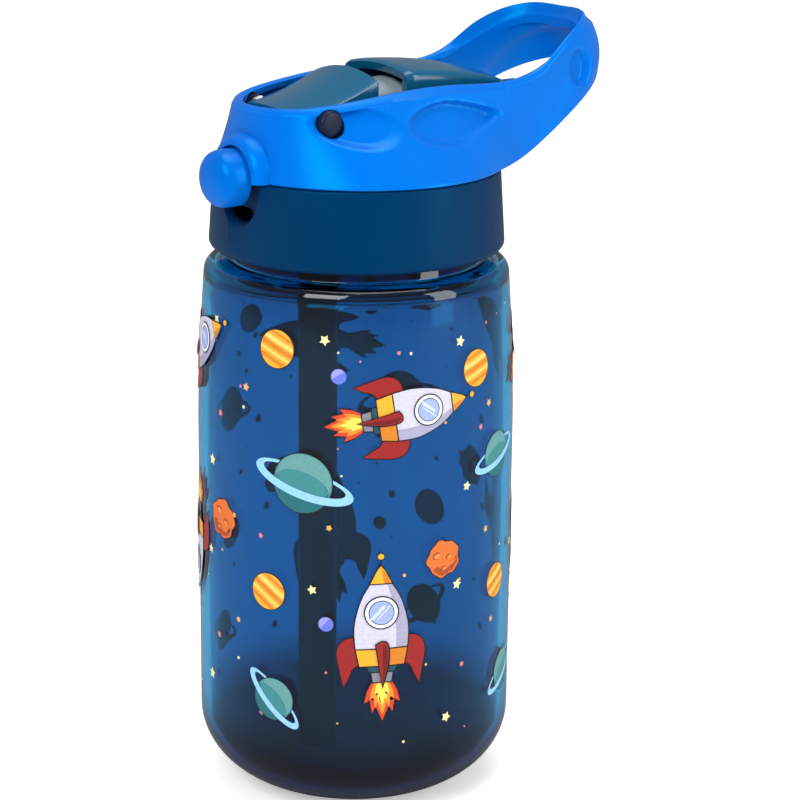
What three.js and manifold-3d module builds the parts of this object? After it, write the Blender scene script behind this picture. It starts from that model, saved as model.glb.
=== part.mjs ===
// Kids water bottle with a press-button flip spout, a screw lid and a carrying loop.
//
// Millimetres, +Z up. The origin is the centre of the base, on the vessel's axis.
// The push button faces -Y, the carrying loop reaches out along +Y.

import * as THREE from 'three';
import { mergeVertices } from 'three/addons/utils/BufferGeometryUtils.js';
import { ParametricGeometry } from 'three/addons/geometries/ParametricGeometry.js';
import Module from 'manifold-3d';

const wasm = await Module();
wasm.setup();

// ---------------------------------------------------------------- clearances

const gap = 0.3;            // between pieces that touch
const runningGap = 0.15;    // between a pin and the piece that turns on it
const overcut = 2;          // how far a cutter runs past the face it opens
const roundSteps = 56;      // flats round the vessel, its cap and its seal

// -------------------------------------------------------------------- vessel

const vessel = {
  radius: 37, wall: 2.2, baseFilletOut: 21, baseFilletUp: 17.5,
  taperLength: 39, taper: 1.6, shoulderZ: 127, shoulderOut: 2.4, shoulderFillet: 3.2,
  neckRadius: 29.2, neckWall: 2.2, neckHeight: 17,
};
vessel.neckZ = vessel.shoulderZ + vessel.neckHeight;
vessel.shoulderRadius = vessel.radius - vessel.taper - vessel.shoulderOut;
const thread = {
  pitch: 4.5, ridge: 1.4, turns: 1.25, rise: 5.6, capLag: 0.3, stepsPerTurn: 30, sides: 6,
};
thread.startZ = vessel.shoulderZ + thread.rise;

// ----------------------------------------------------------------- screw cap

const seal = { height: 1.8, width: 2.6 };
const cap = {
  lift: 3, skirt: 2.8, draft: 1.1, edge: 1.6, deck: 2.1, threadGap: 0.7, landDrop: 3.8, landGap: 0.5,
  ventY: 15, ventRadius: 1.7,
};
cap.bottomZ = vessel.shoulderZ + cap.lift;
cap.threadWall = vessel.neckRadius + thread.ridge + cap.threadGap;
cap.bottomRadius = cap.threadWall + cap.skirt;
cap.topRadius = cap.bottomRadius - cap.draft;
cap.landZ = vessel.neckZ - cap.landDrop;
cap.deckUnderZ = vessel.neckZ + seal.height + 2 * gap;
cap.topZ = cap.deckUnderZ + cap.deck;
const deckZ = (rise) => cap.topZ + rise;      // a height above the cap's flat top
const fromFront = (y) => y - cap.topRadius;   // a place behind the front of the cap's top
const fromRear = (y) => cap.topRadius + y;    // a place behind the rear of the cap's top

// ------------------------------------------------------------ button opening

const button = {
  radius: 6.5, z: deckZ(0.8), apexY: fromFront(-8.2), rimY: fromFront(-1.8), backY: fromFront(-0.4),
  travel: 2.5, sideGap: 0.5,
  stemHalf: 3, stemHeight: 3.2, slotDrop: 9.4,
};
const latch = {
  half: 5, height: 3.4, rearY: fromFront(13), wallY: fromFront(6.8),
  slotHalf: 2.7, hookHeight: 4.6, hookDepth: 1.5,
};
const coil = { radius: 2.0, wire: 0.28, turns: 5, stepsPerTurn: 10, sides: 5 };

// -------------------------------------------------------------------- shroud

const shroud = {
  wall: 3, waist: 0.5, bulge: 2, flare: 0.5, stations: 80, baseZ: deckZ(gap), web: 2.4, webY: fromRear(10.2),
  webTopZ: deckZ(9), webHalf: 17, floorLift: 0.9, floorRise: 6, floorThick: 2,
  loopTilt: 1.7,      // the loop's rim is this much higher outside and lower inside
  loopLift: 3.4,      // the loop's inner face is this much shorter than its outer face
};

// Right half of the upper rim, front to rear: x, y, height above the cap's top.
const rimPoints = [
  [0, -31, 16.1], [10, -28.4, 16.3], [16.2, -21.4, 17], [18.4, -11, 18.1], [19.4, 2, 19.3], [20.2, 14, 19.5],
  [20.4, 26, 18.7], [19.6, 36, 19.8], [18.6, 44.5, 23.4], [16.6, 52, 27.6], [12.6, 58.2, 29.8],
  [7.4, 61.4, 30.5], [0, 62.6, 30.1],
].map(([x, y, rise]) => [x, y, deckZ(rise)]);
const footAngles = [0, 27, 52, 74, 93, 112, 128];   // round the cap, degrees from the front
const tailPoints = [
  [21.4, 31.5, 0.8], [20, 41, 5.4], [18.6, 49.5, 10.2], [15.6, 58, 14.8], [8.8, 65.2, 18], [0, 67.4, 19],
];                                                   // behind the cap: x, y, height above the foot

// ---------------------------------------------------------------- flip parts

const pivot = { y: fromFront(13.4), z: deckZ(13.5), pin: 1.6, head: 3, headOut: 17.2, innerX: 6.8 };
const spout = {
  half: 11.8, noseY: fromFront(6.4), noseStartY: fromFront(14.5), noseZ: deckZ(16.5), rearY: fromFront(30),
  crownRadius: 32, crownZ: deckZ(23.1),
  hub: 4.6, belly: 5.2, rearEdge: 1.6, crownDip: 2.6,
  springSeat: 3.4, springX: 9, portRadius: 2.4, portTilt: 55,
};
const mouth = {
  half: 7.2, halfHeight: 3.4, z: deckZ(15.7), insertY: fromFront(24), tipY: fromFront(42.5),
  bore: 2.2, lip: 0.55, lipLength: 2.2,
};
const hinge = { y: fromRear(3.5), z: deckZ(12.3), pin: 1.3, knuckle: 4.8, knuckleHalf: 7.6, armHalf: 10 };
const shield = {
  frontY: fromFront(38), rearY: fromRear(1.2), half: 12.2, skin: 1.9, side: 5.5, hub: 3.6,
  crownZ: deckZ(23.5), crownRadius: 46,
};
const frame = {
  plateRadius: cap.topRadius - 6, plate: 2, root: 0.5, cheek: 1.8, cheekGap: 0.4, cheekFront: 4,
  cheekRearY: fromFront(17.5), cheekRound: 2.7, collar: 1.6, collarRise: 4.4, postHalf: 2, postDepth: 2,
};

// --------------------------------------------------------------- straw parts

const straw = { y: fromFront(22), radius: 4.5, wall: 1.1, bottomZ: 9, insert: 9 };
const connector = {
  wall: 1.5, neck: 5, flange: 7.6, flangeThick: 1.8, bore: 2.8, bottomZ: deckZ(-17.5), riseAboveDeck: 4,
};
const spoutSeal = { radius: 4.8, height: 2.9, foot: 1.2, lip: 0.9 };
const vent = { head: 3.6, headHeight: 0.8, bulb: 2.4, length: 5 };

// ------------------------------------------------------------------- helpers

/** One closed, outward-facing solid from a three.js geometry. */
function solid(source) {
  const bare = source.clone();
  for (const name of ['normal', 'uv']) bare.deleteAttribute(name);
  const merged = mergeVertices(bare, 1e-4);
  const corners = merged.getAttribute('position');
  const all = merged.getIndex().array;
  const kept = [];
  for (let i = 0; i < all.length; i += 3) {
    const [a, b, c] = [all[i], all[i + 1], all[i + 2]];
    if (a !== b && b !== c && c !== a) kept.push(a, b, c);
  }
  let volume = 0;
  const [p, q, r] = [new THREE.Vector3(), new THREE.Vector3(), new THREE.Vector3()];
  for (let i = 0; i < kept.length; i += 3) {
    p.fromBufferAttribute(corners, kept[i]);
    q.fromBufferAttribute(corners, kept[i + 1]);
    r.fromBufferAttribute(corners, kept[i + 2]);
    volume += p.dot(q.cross(r));
  }
  if (volume < 0) {
    for (let i = 0; i < kept.length; i += 3) [kept[i], kept[i + 1]] = [kept[i + 1], kept[i]];
  }
  return new wasm.Manifold(new wasm.Mesh({
    numProp: 3, vertProperties: new Float32Array(corners.array), triVerts: new Uint32Array(kept),
  }));
}

/** A three.js geometry from a solid. */
function geometry(body) {
  const mesh = body.getMesh();
  const result = new THREE.BufferGeometry();
  result.setAttribute('position', new THREE.BufferAttribute(mesh.vertProperties, 3));
  result.setIndex(new THREE.BufferAttribute(mesh.triVerts, 1));
  result.computeVertexNormals();
  return result;
}

const alongX = new THREE.Matrix4().set(0, 0, 1, 0, 1, 0, 0, 0, 0, 1, 0, 0, 0, 0, 0, 1);
const alongY = new THREE.Matrix4().set(1, 0, 0, 0, 0, 0, -1, 0, 0, 1, 0, 0, 0, 0, 0, 1);

/** Turned about a vertical axis at (x, y): profile points are [radius, z]. */
function turned(profile, segments = 64, x = 0, y = 0) {
  const points = profile.map(([radius, z]) => new THREE.Vector2(radius, z));
  return solid(new THREE.LatheGeometry(points, segments).rotateX(Math.PI / 2).translate(x, y, 0));
}

/** A ring or bush with a round bore, about a vertical axis. */
function bush(outer, bore, z0, z1, segments = 48, x = 0, y = 0) {
  return turned([[bore, z0], [outer, z0], [outer, z1], [bore, z1], [bore, z0]], segments, x, y);
}

function outline(points) {
  return new THREE.Shape(points.map(([a, b]) => new THREE.Vector2(a, b)));
}

/** A [y, z] outline pushed from x0 to x1. */
function pushedX(shape, x0, x1) {
  const body = new THREE.ExtrudeGeometry(shape, { depth: x1 - x0, bevelEnabled: false, curveSegments: 12 });
  return solid(body.translate(0, 0, x0).applyMatrix4(alongX));
}

/** An [x, z] outline pushed from y0 to y1. */
function pushedY(shape, y0, y1) {
  const body = new THREE.ExtrudeGeometry(shape, { depth: y1 - y0, bevelEnabled: false, curveSegments: 12 });
  return solid(body.translate(0, 0, -y1).applyMatrix4(alongY));
}

/** An [x, y] outline pushed from z0 to z1. */
function pushedZ(shape, z0, z1) {
  const body = new THREE.ExtrudeGeometry(shape, { depth: z1 - z0, bevelEnabled: false, curveSegments: 16 });
  return solid(body.translate(0, 0, z0));
}

function block([x0, y0, z0], [x1, y1, z1]) {
  const box = new THREE.BoxGeometry(x1 - x0, y1 - y0, z1 - z0);
  return solid(box.translate((x0 + x1) / 2, (y0 + y1) / 2, (z0 + z1) / 2));
}

function rodX(radius, x0, x1, y, z, segments = 32) {
  const rod = new THREE.CylinderGeometry(radius, radius, x1 - x0, segments);
  return solid(rod.rotateZ(Math.PI / 2).translate((x0 + x1) / 2, y, z));
}

function rodY(radius, y0, y1, x, z, segments = 48) {
  const rod = new THREE.CylinderGeometry(radius, radius, y1 - y0, segments);
  return solid(rod.translate(x, (y0 + y1) / 2, z));
}

function rodZ(radius, z0, z1, x, y, segments = 32) {
  const rod = new THREE.CylinderGeometry(radius, radius, z1 - z0, segments);
  return solid(rod.rotateX(Math.PI / 2).translate(x, y, (z0 + z1) / 2));
}

/** Points on a quarter of an ellipse, from one quadrant angle to the other. */
function arc(cx, cz, rx, rz, from, to, steps) {
  return Array.from({ length: steps + 1 }, (_, i) => {
    const a = THREE.MathUtils.degToRad(from + (to - from) * i / steps);
    return [cx + rx * Math.cos(a), cz + rz * Math.sin(a)];
  });
}

class Helix extends THREE.Curve {
  constructor(radius, pitch, turns, start = 0) {
    super();
    Object.assign(this, { radius, pitch, turns, start });
  }

  getPoint(t, target = new THREE.Vector3()) {
    const turn = (this.start + t * this.turns);
    const angle = 2 * Math.PI * turn;
    return target.set(this.radius * Math.cos(angle), this.radius * Math.sin(angle), this.pitch * turn);
  }
}

/** A round wire or ridge of `sides` flats that follows a helix about +Z. */
function wound(path, wire, steps, sides) {
  const ring = new THREE.Shape(arc(0, 0, wire, wire, 0, 360 * (1 - 1 / sides), sides - 1)
    .map(([a, b]) => new THREE.Vector2(a, b)));
  return new THREE.ExtrudeGeometry(ring, { extrudePath: path, steps, bevelEnabled: false });
}

// --------------------------------------------------------- vessel and its cap

function vesselSolid() {
  const v = vessel;
  const inner = v.radius - v.wall;
  const neckBore = v.neckRadius - v.neckWall;
  const taperTop = v.shoulderZ - v.shoulderFillet;
  const taperZ = v.shoulderZ - v.taperLength;
  const taper = (from) => [0, 1, 2, 3].map((i) => [
    from - v.taper * (i / 4) ** 1.6, taperZ + (taperTop - taperZ) * (i / 4),
  ]);
  const body = turned([
    [0, 0],
    ...arc(v.radius - v.baseFilletOut, v.baseFilletUp, v.baseFilletOut, v.baseFilletUp, -90, 0, 7),
    ...taper(v.radius),
    ...arc(v.shoulderRadius, taperTop, v.shoulderOut, v.shoulderFillet, 0, 90, 5),
    [v.neckRadius, v.shoulderZ],
    [v.neckRadius, v.neckZ],
    [neckBore, v.neckZ],
    [neckBore, v.shoulderZ - v.wall],
    ...arc(v.shoulderRadius - v.wall, taperTop - v.wall, v.shoulderOut, v.shoulderFillet, 90, 10, 4),
    ...taper(inner).reverse(),
    ...arc(v.radius - v.baseFilletOut, v.baseFilletUp,
      v.baseFilletOut - v.wall, v.baseFilletUp - v.wall, 0, -90, 6),
    [0, v.wall],
  ], roundSteps);
  return body.add(ridge(v.neckRadius, thread.startZ, 0));
}

/** A thread ridge that sets off `lag` turns up its helix. */
function ridge(radius, startZ, lag) {
  const path = new Helix(radius, thread.pitch, thread.turns - lag / 2, lag);
  const steps = Math.round(path.turns * thread.stepsPerTurn);
  return solid(wound(path, thread.ridge, steps, thread.sides).translate(0, 0, startZ));
}

function capSolid() {
  const c = cap;
  const land = vessel.neckRadius + c.landGap;
  const body = turned([
    [0, c.topZ],
    ...arc(c.topRadius - c.edge / 2, c.topZ - c.edge / 2, c.edge / 2, c.edge / 2, 90, 0, 3),
    ...arc(c.bottomRadius - c.edge, c.bottomZ + c.edge, c.edge, c.edge, 0, -90, 4),
    [c.threadWall, c.bottomZ],
    [c.threadWall, c.landZ],
    [land, c.landZ + c.threadWall - land],
    [land, c.deckUnderZ],
    [0, c.deckUnderZ],
  ], roundSteps);
  const threaded = body.add(ridge(c.threadWall, thread.startZ - thread.pitch / 2, thread.capLag));
  const halfSlot = button.radius + button.sideGap;
  const slotZ = c.topZ - button.slotDrop + halfSlot;
  const slot = outline([
    [halfSlot, c.topZ + overcut],
    [-halfSlot, c.topZ + overcut],
    ...arc(0, slotZ, halfSlot, halfSlot, 180, 360, 16),
  ]);
  return threaded
    .subtract(pushedY(slot, -c.bottomRadius - overcut, buttonWellY))
    .subtract(rodZ(connector.neck + gap, c.deckUnderZ - overcut, c.topZ + overcut, 0, straw.y))
    .subtract(rodZ(c.ventRadius, c.deckUnderZ - overcut, c.topZ + overcut, 0, c.ventY));
}

// The well behind the button is deep enough for its travel.
const buttonWellY = button.backY + button.travel + gap;

// ------------------------------------------------------------------- shroud

function mirroredLoop(half) {
  const left = half.slice(1, -1).reverse().map(([x, y, z]) => [-x, y, z]);
  const points = [...half, ...left].map((p) => new THREE.Vector3(...p));
  return new THREE.CatmullRomCurve3(points, true, 'centripetal');
}

const rimLoop = mirroredLoop(rimPoints);
const footLoop = mirroredLoop([
  ...footAngles.map((degrees) => {
    const a = THREE.MathUtils.degToRad(degrees);
    const radius = cap.topRadius + shroud.flare;
    return [radius * Math.sin(a), -radius * Math.cos(a), shroud.baseZ];
  }),
  ...tailPoints.map(([x, y, rise]) => [x, y, shroud.baseZ + rise]),
]);

/** The ring wall between the foot and the rim, `extra` thicker on its inner side. */
function ringWall(extra) {
  const at = (t, target) => {
    const rim = rimLoop.getPoint(t);
    const foot = footLoop.getPoint(t);
    const inward = (curve) => {
      const along = curve.getTangent(t);
      return new THREE.Vector3(-along.y, along.x, 0).normalize();
    };
    const mix = new THREE.Vector3().addVectors(inward(rimLoop), inward(footLoop)).normalize();
    const place = (share, depth, lift = 0) => new THREE.Vector3().lerpVectors(foot, rim, share)
      .addScaledVector(mix, depth).add(new THREE.Vector3(0, 0, lift));
    const inner = shroud.wall + extra;
    const rise = foot.z - shroud.baseZ;
    const tilt = shroud.loopTilt * THREE.MathUtils.smoothstep(rise, 1, 8);
    const lift = shroud.loopLift * THREE.MathUtils.smoothstep(rise, 2, 10);
    const waist = shroud.waist - (shroud.waist + shroud.bulge) * THREE.MathUtils.smoothstep(rise, 6, 17);
    target.push(
      place(0, 0), place(0.3, 0.9 * waist), place(0.6, waist), place(0.85, 0.5 * waist),
      place(1, 0.2, tilt - 1.2), place(1, 1.1, tilt), place(1, inner - 1, 0.1 * extra - tilt),
      place(1, inner, extra - tilt - 1.2),
      place(0.6, inner + 0.3), place(0.3, inner + 0.2, lift / 2), place(0, inner, lift),
    );
  };
  const rows = [];
  for (let i = 0; i < shroud.stations; i += 1) {
    const row = [];
    at(i / shroud.stations, row);
    rows.push(row);
  }
  const sides = rows[0].length;
  const wrap = (value, count) => Math.round(value * count) % count;
  const surface = (u, v, target) => target.copy(rows[wrap(u, rows.length)][wrap(v, sides)]);
  return solid(new ParametricGeometry(surface, rows.length, sides));
}

function shroudSolid() {
  const s = shroud;
  const floorZ = s.baseZ + s.floorLift;
  const floorY = frame.plateRadius + 1.6;
  const rearY = s.webY + s.web;
  const floor = pushedX(outline([
    [floorY, floorZ - 0.4], [rearY, floorZ + s.floorRise],
    [rearY, floorZ + s.floorRise + s.floorThick], [floorY, floorZ + 1.4],
  ]), -s.webHalf, s.webHalf);
  const web = block([-s.webHalf, s.webY, floorZ + s.floorRise], [s.webHalf, rearY, s.webTopZ]);
  const tail = floor.add(web).subtract(rodZ(cap.topRadius - s.wall - gap, 0, s.webTopZ + overcut, 0, 0, 72));
  return ringWall(0).add(tail)
    .subtract(rodX(pivot.head + runningGap, -cap.topRadius, cap.topRadius, pivot.y, pivot.z))
    .subtract(rodY(button.radius + button.sideGap, -cap.topRadius - overcut, -cap.topRadius / 2, 0, button.z));
}

// ------------------------------------------------------------- button, latch

const stemZ = cap.topZ + gap + frame.plate + gap;     // underside of the stem and the latch slide

function buttonSolid() {
  const b = button;
  const dome = arc(0, 0, b.radius, b.rimY - b.apexY, 0, 90, 8).map(([r, h]) => [r, h - b.rimY]);
  const cut = new THREE.LatheGeometry([
    [0, -b.backY], [b.radius, -b.backY], ...dome.slice(0, -1), [0, -b.apexY],
  ].map(([r, h]) => new THREE.Vector2(r, h)), 40).rotateX(Math.PI).translate(0, 0, b.z);
  const stem = block(
    [-b.stemHalf, b.backY - 0.8, stemZ],
    [b.stemHalf, latch.wallY - latch.hookDepth - gap, stemZ + b.stemHeight],
  );
  return solid(cut).add(stem);
}

function latchSolid() {
  const l = latch;
  const frontY = l.wallY - l.hookDepth;
  const slide = block([-l.half, frontY, stemZ], [l.half, l.rearY, stemZ + l.height]);
  const hook = block([-l.half, frontY, stemZ + l.height - 1], [l.half, l.wallY, stemZ + l.hookHeight]);
  const slot = block([-l.slotHalf, l.wallY, stemZ - 1], [l.slotHalf, l.rearY + 1, stemZ + l.height + 1]);
  return slide.add(hook).subtract(slot);
}

const springZ = stemZ + latch.slotHalf - 0.4;
const springPostY = latch.rearY - 1;

function buttonSpringSolid() {
  const length = springPostY - latch.wallY - 2 * gap - 2 * coil.wire;
  const path = new Helix(coil.radius, length / coil.turns, coil.turns);
  const wire = wound(path, coil.wire, coil.turns * coil.stepsPerTurn, coil.sides);
  return solid(wire.rotateX(-Math.PI / 2).translate(0, latch.wallY + gap + coil.wire, springZ));
}

// --------------------------------------------------------------- flip frame

function frameSolid() {
  const f = frame;
  const z0 = cap.topZ + gap;
  const z1 = z0 + f.plate;
  const plate = rodZ(f.plateRadius, z0, z1, 0, 0, 64);
  const rootZ = z1 - f.root;
  const cheekX = spout.half + f.cheekGap;
  const cheekShape = outline([
    [pivot.y - f.cheekFront, rootZ], [f.cheekRearY, rootZ],
    ...arc(pivot.y, pivot.z, f.cheekRound, f.cheekRound, 0, 180, 10),
  ]);
  const collarBore = spoutSeal.radius + gap;
  const collar = bush(collarBore + f.collar, collarBore, rootZ, z1 + f.collarRise, 40, 0, straw.y);
  const post = block(
    [-f.postHalf, springPostY, rootZ], [f.postHalf, springPostY + f.postDepth, z1 + latch.height],
  );
  const rearBlock = pushedX(outline([
    [f.plateRadius - 7, rootZ], [f.plateRadius - 0.4, rootZ], [f.plateRadius + 1, z1 + 1.4],
    ...arc(hinge.y, hinge.z, hinge.knuckle, hinge.knuckle, -55, 100, 16),
    [f.plateRadius, hinge.z + 1.5], [f.plateRadius - 5, z1 + 5],
  ]), -hinge.knuckleHalf, hinge.knuckleHalf);
  let body = plate.add(collar).add(post).add(rearBlock);
  for (const side of [-1, 1]) {
    const [a, b] = [side * cheekX, side * (cheekX + f.cheek)];
    body = body.add(pushedX(cheekShape, Math.min(a, b), Math.max(a, b)));
  }
  return body
    .subtract(rodZ(connector.neck + gap, z0 - 1, z1 + 1, 0, straw.y, 40))
    .subtract(rodZ(vent.head + 2 * gap, z0 - 1, z1 + 1, 0, cap.ventY))
    .subtract(rodX(pivot.pin + runningGap, -cap.topRadius, cap.topRadius, pivot.y, pivot.z))
    .subtract(rodX(hinge.pin + runningGap, -hinge.armHalf - 1, hinge.armHalf + 1, hinge.y, hinge.z, 24))
    .subtract(ringWall(gap));
}

// --------------------------------------------------------------- flip spout

/** Everything below a shallow barrel whose crest line climbs from [y0, z0] to [y1, z1]. */
function crown(radius, [y0, z0], [y1, z1]) {
  const slope = Math.atan2(z1 - z0, y1 - y0);
  const barrel = new THREE.CylinderGeometry(radius, radius, Math.hypot(y1 - y0, z1 - z0) + 12, 96);
  barrel.translate(0, 0, -radius).rotateX(slope);
  return solid(barrel.translate(0, (y0 + y1) / 2, (z0 + z1) / 2));
}

function spoutSolid() {
  const s = spout;
  const side = outline([
    [s.noseY - 1, pivot.z - 0.4],
    ...arc(pivot.y, pivot.z, s.hub, s.hub, 215, 290, 5),
    [straw.y - 3, pivot.z - s.belly], [straw.y + 3, pivot.z - s.belly + 0.4], [s.rearY, mouth.z - s.hub],
    [s.rearY, s.crownZ - s.rearEdge / 2], [s.rearY - s.rearEdge, s.crownZ],
    [s.rearY - 5 * s.rearEdge, s.crownZ - s.crownDip], [pivot.y, pivot.z + s.hub],
    [s.noseY - 1, pivot.z + s.crownDip],
  ]);
  const plan = outline([
    [s.half, s.rearY + 1], [-s.half, s.rearY + 1],
    ...arc(0, s.noseStartY, s.half, s.noseStartY - s.noseY, 180, 360, 18),
  ]);
  const slant = new THREE.CylinderGeometry(s.portRadius, s.portRadius, 14, 24);
  slant.rotateX(THREE.MathUtils.degToRad(s.portTilt)).translate(0, straw.y, mouth.z - 3.4);
  return pushedX(side, -s.half, s.half)
    .intersect(pushedZ(plan, pivot.z - 10, s.crownZ + 1))
    .intersect(crown(s.crownRadius, [s.noseY, s.noseZ], [s.rearY, s.crownZ]))
    .subtract(mouthOval(gap, mouth.insertY - gap, s.rearY + 1))
    .subtract(solid(slant))
    .subtract(rodX(pivot.pin + runningGap, pivot.innerX - 0.4, s.half + 1, pivot.y, pivot.z))
    .subtract(rodX(pivot.pin + runningGap, -s.half - 1, -pivot.innerX + 0.4, pivot.y, pivot.z))
    .subtract(rodX(s.springSeat, -s.half - 1, -s.springX, pivot.y, pivot.z));
}

function mouthOval(grow, y0, y1) {
  const oval = outline(arc(0, mouth.z, mouth.half + grow, mouth.halfHeight + grow, 0, 350, 35));
  return pushedY(oval, y0, y1);
}

function mouthSolid() {
  return mouthOval(0, mouth.insertY, mouth.tipY)
    .add(mouthOval(mouth.lip, mouth.tipY - mouth.lipLength, mouth.tipY))
    .subtract(rodY(mouth.bore, mouth.insertY - 1, mouth.tipY + 1, 0, mouth.z, 24));
}

function torsionSpring() {
  const length = spout.half - spout.springX - 2 * gap - 2 * coil.wire;
  const path = new Helix(pivot.pin + 0.9, length / 3, 3);
  const wire = wound(path, coil.wire, path.turns * coil.stepsPerTurn, coil.sides);
  return solid(wire.rotateY(Math.PI / 2).translate(-spout.half + gap + coil.wire, pivot.y, pivot.z));
}

function spoutPin(side) {
  const headX = spout.half + frame.cheekGap + frame.cheek + gap;
  const shank = [pivot.innerX, headX + 0.4];
  const head = [headX, pivot.headOut];
  const span = ([a, b]) => [Math.min(side * a, side * b), Math.max(side * a, side * b)];
  return rodX(pivot.pin, ...span(shank), pivot.y, pivot.z)
    .add(rodX(pivot.head, ...span(head), pivot.y, pivot.z));
}

// -------------------------------------------------------------- rear shield

function shieldSolid() {
  const s = shield;
  const side = outline([
    [s.frontY, s.crownZ - s.side], [s.frontY, s.crownZ - 0.6], [s.frontY + 2, s.crownZ],
    [s.frontY + 12, s.crownZ - 0.8], [s.rearY - 4, s.crownZ - 3.6], [s.rearY, s.crownZ - 5.4],
    ...arc(hinge.y, hinge.z, s.hub, s.hub, 40, -140, 10), [s.rearY - 8, s.crownZ - s.side - 3.4],
  ]);
  const plan = outline([
    [s.half, s.frontY - 1], [s.half, s.frontY + 10],
    [hinge.armHalf, s.rearY - 3], [hinge.armHalf, hinge.y + 6],
    [-hinge.armHalf, hinge.y + 6], [-hinge.armHalf, s.rearY - 3],
    [-s.half, s.frontY + 10], [-s.half, s.frontY - 1],
  ]);
  const hollowHalf = hinge.knuckleHalf + gap;
  const roof = outline([
    [s.frontY - 1, s.crownZ - s.skin - 0.4], [s.frontY + 12, s.crownZ - s.skin - 0.8],
    [s.rearY - 4, s.crownZ - s.skin - 3.2],
    ...arc(hinge.y, hinge.z, hinge.knuckle + 0.4, hinge.knuckle + 0.4, 100, -90, 16),
    [s.frontY - 1, hinge.z - 6],
  ]);
  const wide = outline([
    [s.frontY - 1, s.crownZ - s.skin - 0.8], [s.frontY + 12, s.crownZ - s.skin - 1.4],
    [s.rearY - 10, s.crownZ - s.skin - 3], [s.rearY - 10, hinge.z - 6], [s.frontY - 1, hinge.z - 6],
  ]);
  return pushedX(side, -s.half, s.half)
    .intersect(pushedZ(plan, hinge.z - 8, s.crownZ + 1))
    .intersect(crown(s.crownRadius, [s.frontY, s.crownZ], [hinge.y, s.crownZ]))
    .subtract(pushedX(roof, -hollowHalf, hollowHalf))
    .subtract(pushedX(wide, -s.half + s.skin, s.half - s.skin))
    .subtract(rodX(hinge.pin + runningGap, -s.half, s.half, hinge.y, hinge.z, 24));
}

// --------------------------------------------------------------- small parts

function connectorSolid() {
  const c = connector;
  const outer = straw.radius + gap / 2 + c.wall;
  const flangeTop = cap.deckUnderZ - gap;
  const shelf = c.bottomZ + straw.insert + gap;
  return turned([
    [c.bore, shelf], [straw.radius + gap / 2, shelf], [straw.radius + gap / 2, c.bottomZ], [outer, c.bottomZ],
    [outer, flangeTop - c.flangeThick], [c.flange, flangeTop - c.flangeThick], [c.flange, flangeTop],
    [c.neck, flangeTop], [c.neck, cap.topZ + c.riseAboveDeck], [c.bore, cap.topZ + c.riseAboveDeck],
    [c.bore, shelf],
  ], 40, 0, straw.y);
}

function strawSolid() {
  const top = connector.bottomZ + straw.insert;
  return bush(straw.radius, straw.radius - straw.wall, straw.bottomZ, top, 32, 0, straw.y);
}

function spoutSealSolid() {
  const z0 = cap.topZ + connector.riseAboveDeck + gap;
  const bore = spout.portRadius;
  return turned([
    [bore, z0], [spoutSeal.radius, z0], [spoutSeal.radius, z0 + spoutSeal.foot],
    ...arc(bore + spoutSeal.lip, z0 + spoutSeal.foot, spoutSeal.radius - bore - spoutSeal.lip,
      spoutSeal.height - spoutSeal.foot, 0, 90, 4),
    [bore, z0 + spoutSeal.height], [bore, z0],
  ], 36, 0, straw.y);
}

function ventSolid() {
  const v = vent;
  const headZ = cap.topZ + gap / 2;
  const stem = cap.ventRadius - gap / 2;
  const under = cap.deckUnderZ - gap / 2;
  return turned([
    [0, headZ + v.headHeight], [v.head * 0.7, headZ + v.headHeight], [v.head, headZ],
    [stem, headZ], [stem, under],
    [v.bulb, under - 0.6], [v.bulb * 0.5, headZ - v.length], [0, headZ - v.length],
  ], 24, 0, cap.ventY);
}

function neckSealSolid() {
  const z0 = vessel.neckZ + gap;
  const inner = vessel.neckRadius - seal.width;
  return bush(vessel.neckRadius - 0.1, inner, z0, z0 + seal.height, roundSteps);
}

// ------------------------------------------------------------------ assembly

const finish = {
  vessel: { color: 0x0b3f7a, roughness: 0.08, metalness: 0, transparent: true, opacity: 0.55 },
  cap: { color: 0x06284e, roughness: 0.4, metalness: 0 },
  shroud: { color: 0x006ee0, roughness: 0.3, metalness: 0 },
  button: { color: 0x1470dc, roughness: 0.3, metalness: 0 },
  flip: { color: 0x0e6088, roughness: 0.25, metalness: 0 },
  core: { color: 0x081c38, roughness: 0.45, metalness: 0 },
  silicone: { color: 0x9fb4be, roughness: 0.5, metalness: 0, transparent: true, opacity: 0.8 },
  steel: { color: 0xb8bcc2, roughness: 0.3, metalness: 1 },
};
const materials = Object.fromEntries(
  Object.entries(finish).map(([name, values]) => [name, new THREE.MeshStandardMaterial(values)]),
);

const pieces = {
  bottle: [vesselSolid, 'vessel'],
  neck_seal: [neckSealSolid, 'silicone'],
  screw_cap: [capSolid, 'cap'],
  straw_connector: [connectorSolid, 'core'],
  straw: [strawSolid, 'core'],
  vent_valve: [ventSolid, 'silicone'],
  handle_shroud: [shroudSolid, 'shroud'],
  flip_frame: [frameSolid, 'core'],
  push_button: [buttonSolid, 'button'],
  latch_slide: [latchSolid, 'core'],
  button_spring: [buttonSpringSolid, 'steel'],
  spout_seal: [spoutSealSolid, 'silicone'],
  spout_body: [spoutSolid, 'flip'],
  mouthpiece: [mouthSolid, 'silicone'],
  spout_spring: [torsionSpring, 'steel'],
  hinge_pin_left: [() => spoutPin(-1), 'core'],
  hinge_pin_right: [() => spoutPin(1), 'core'],
  spout_shield: [shieldSolid, 'flip'],
  shield_pin: [() => rodX(hinge.pin, -hinge.armHalf + 0.4, hinge.armHalf - 0.4, hinge.y, hinge.z, 24), 'core'],
};

const kidsBottle = new THREE.Group();
for (const [name, [make, slot]] of Object.entries(pieces)) {
  const mesh = new THREE.Mesh(geometry(make()), materials[slot]);
  mesh.name = name;
  kidsBottle.add(mesh);
}

export default kidsBottle;
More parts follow.
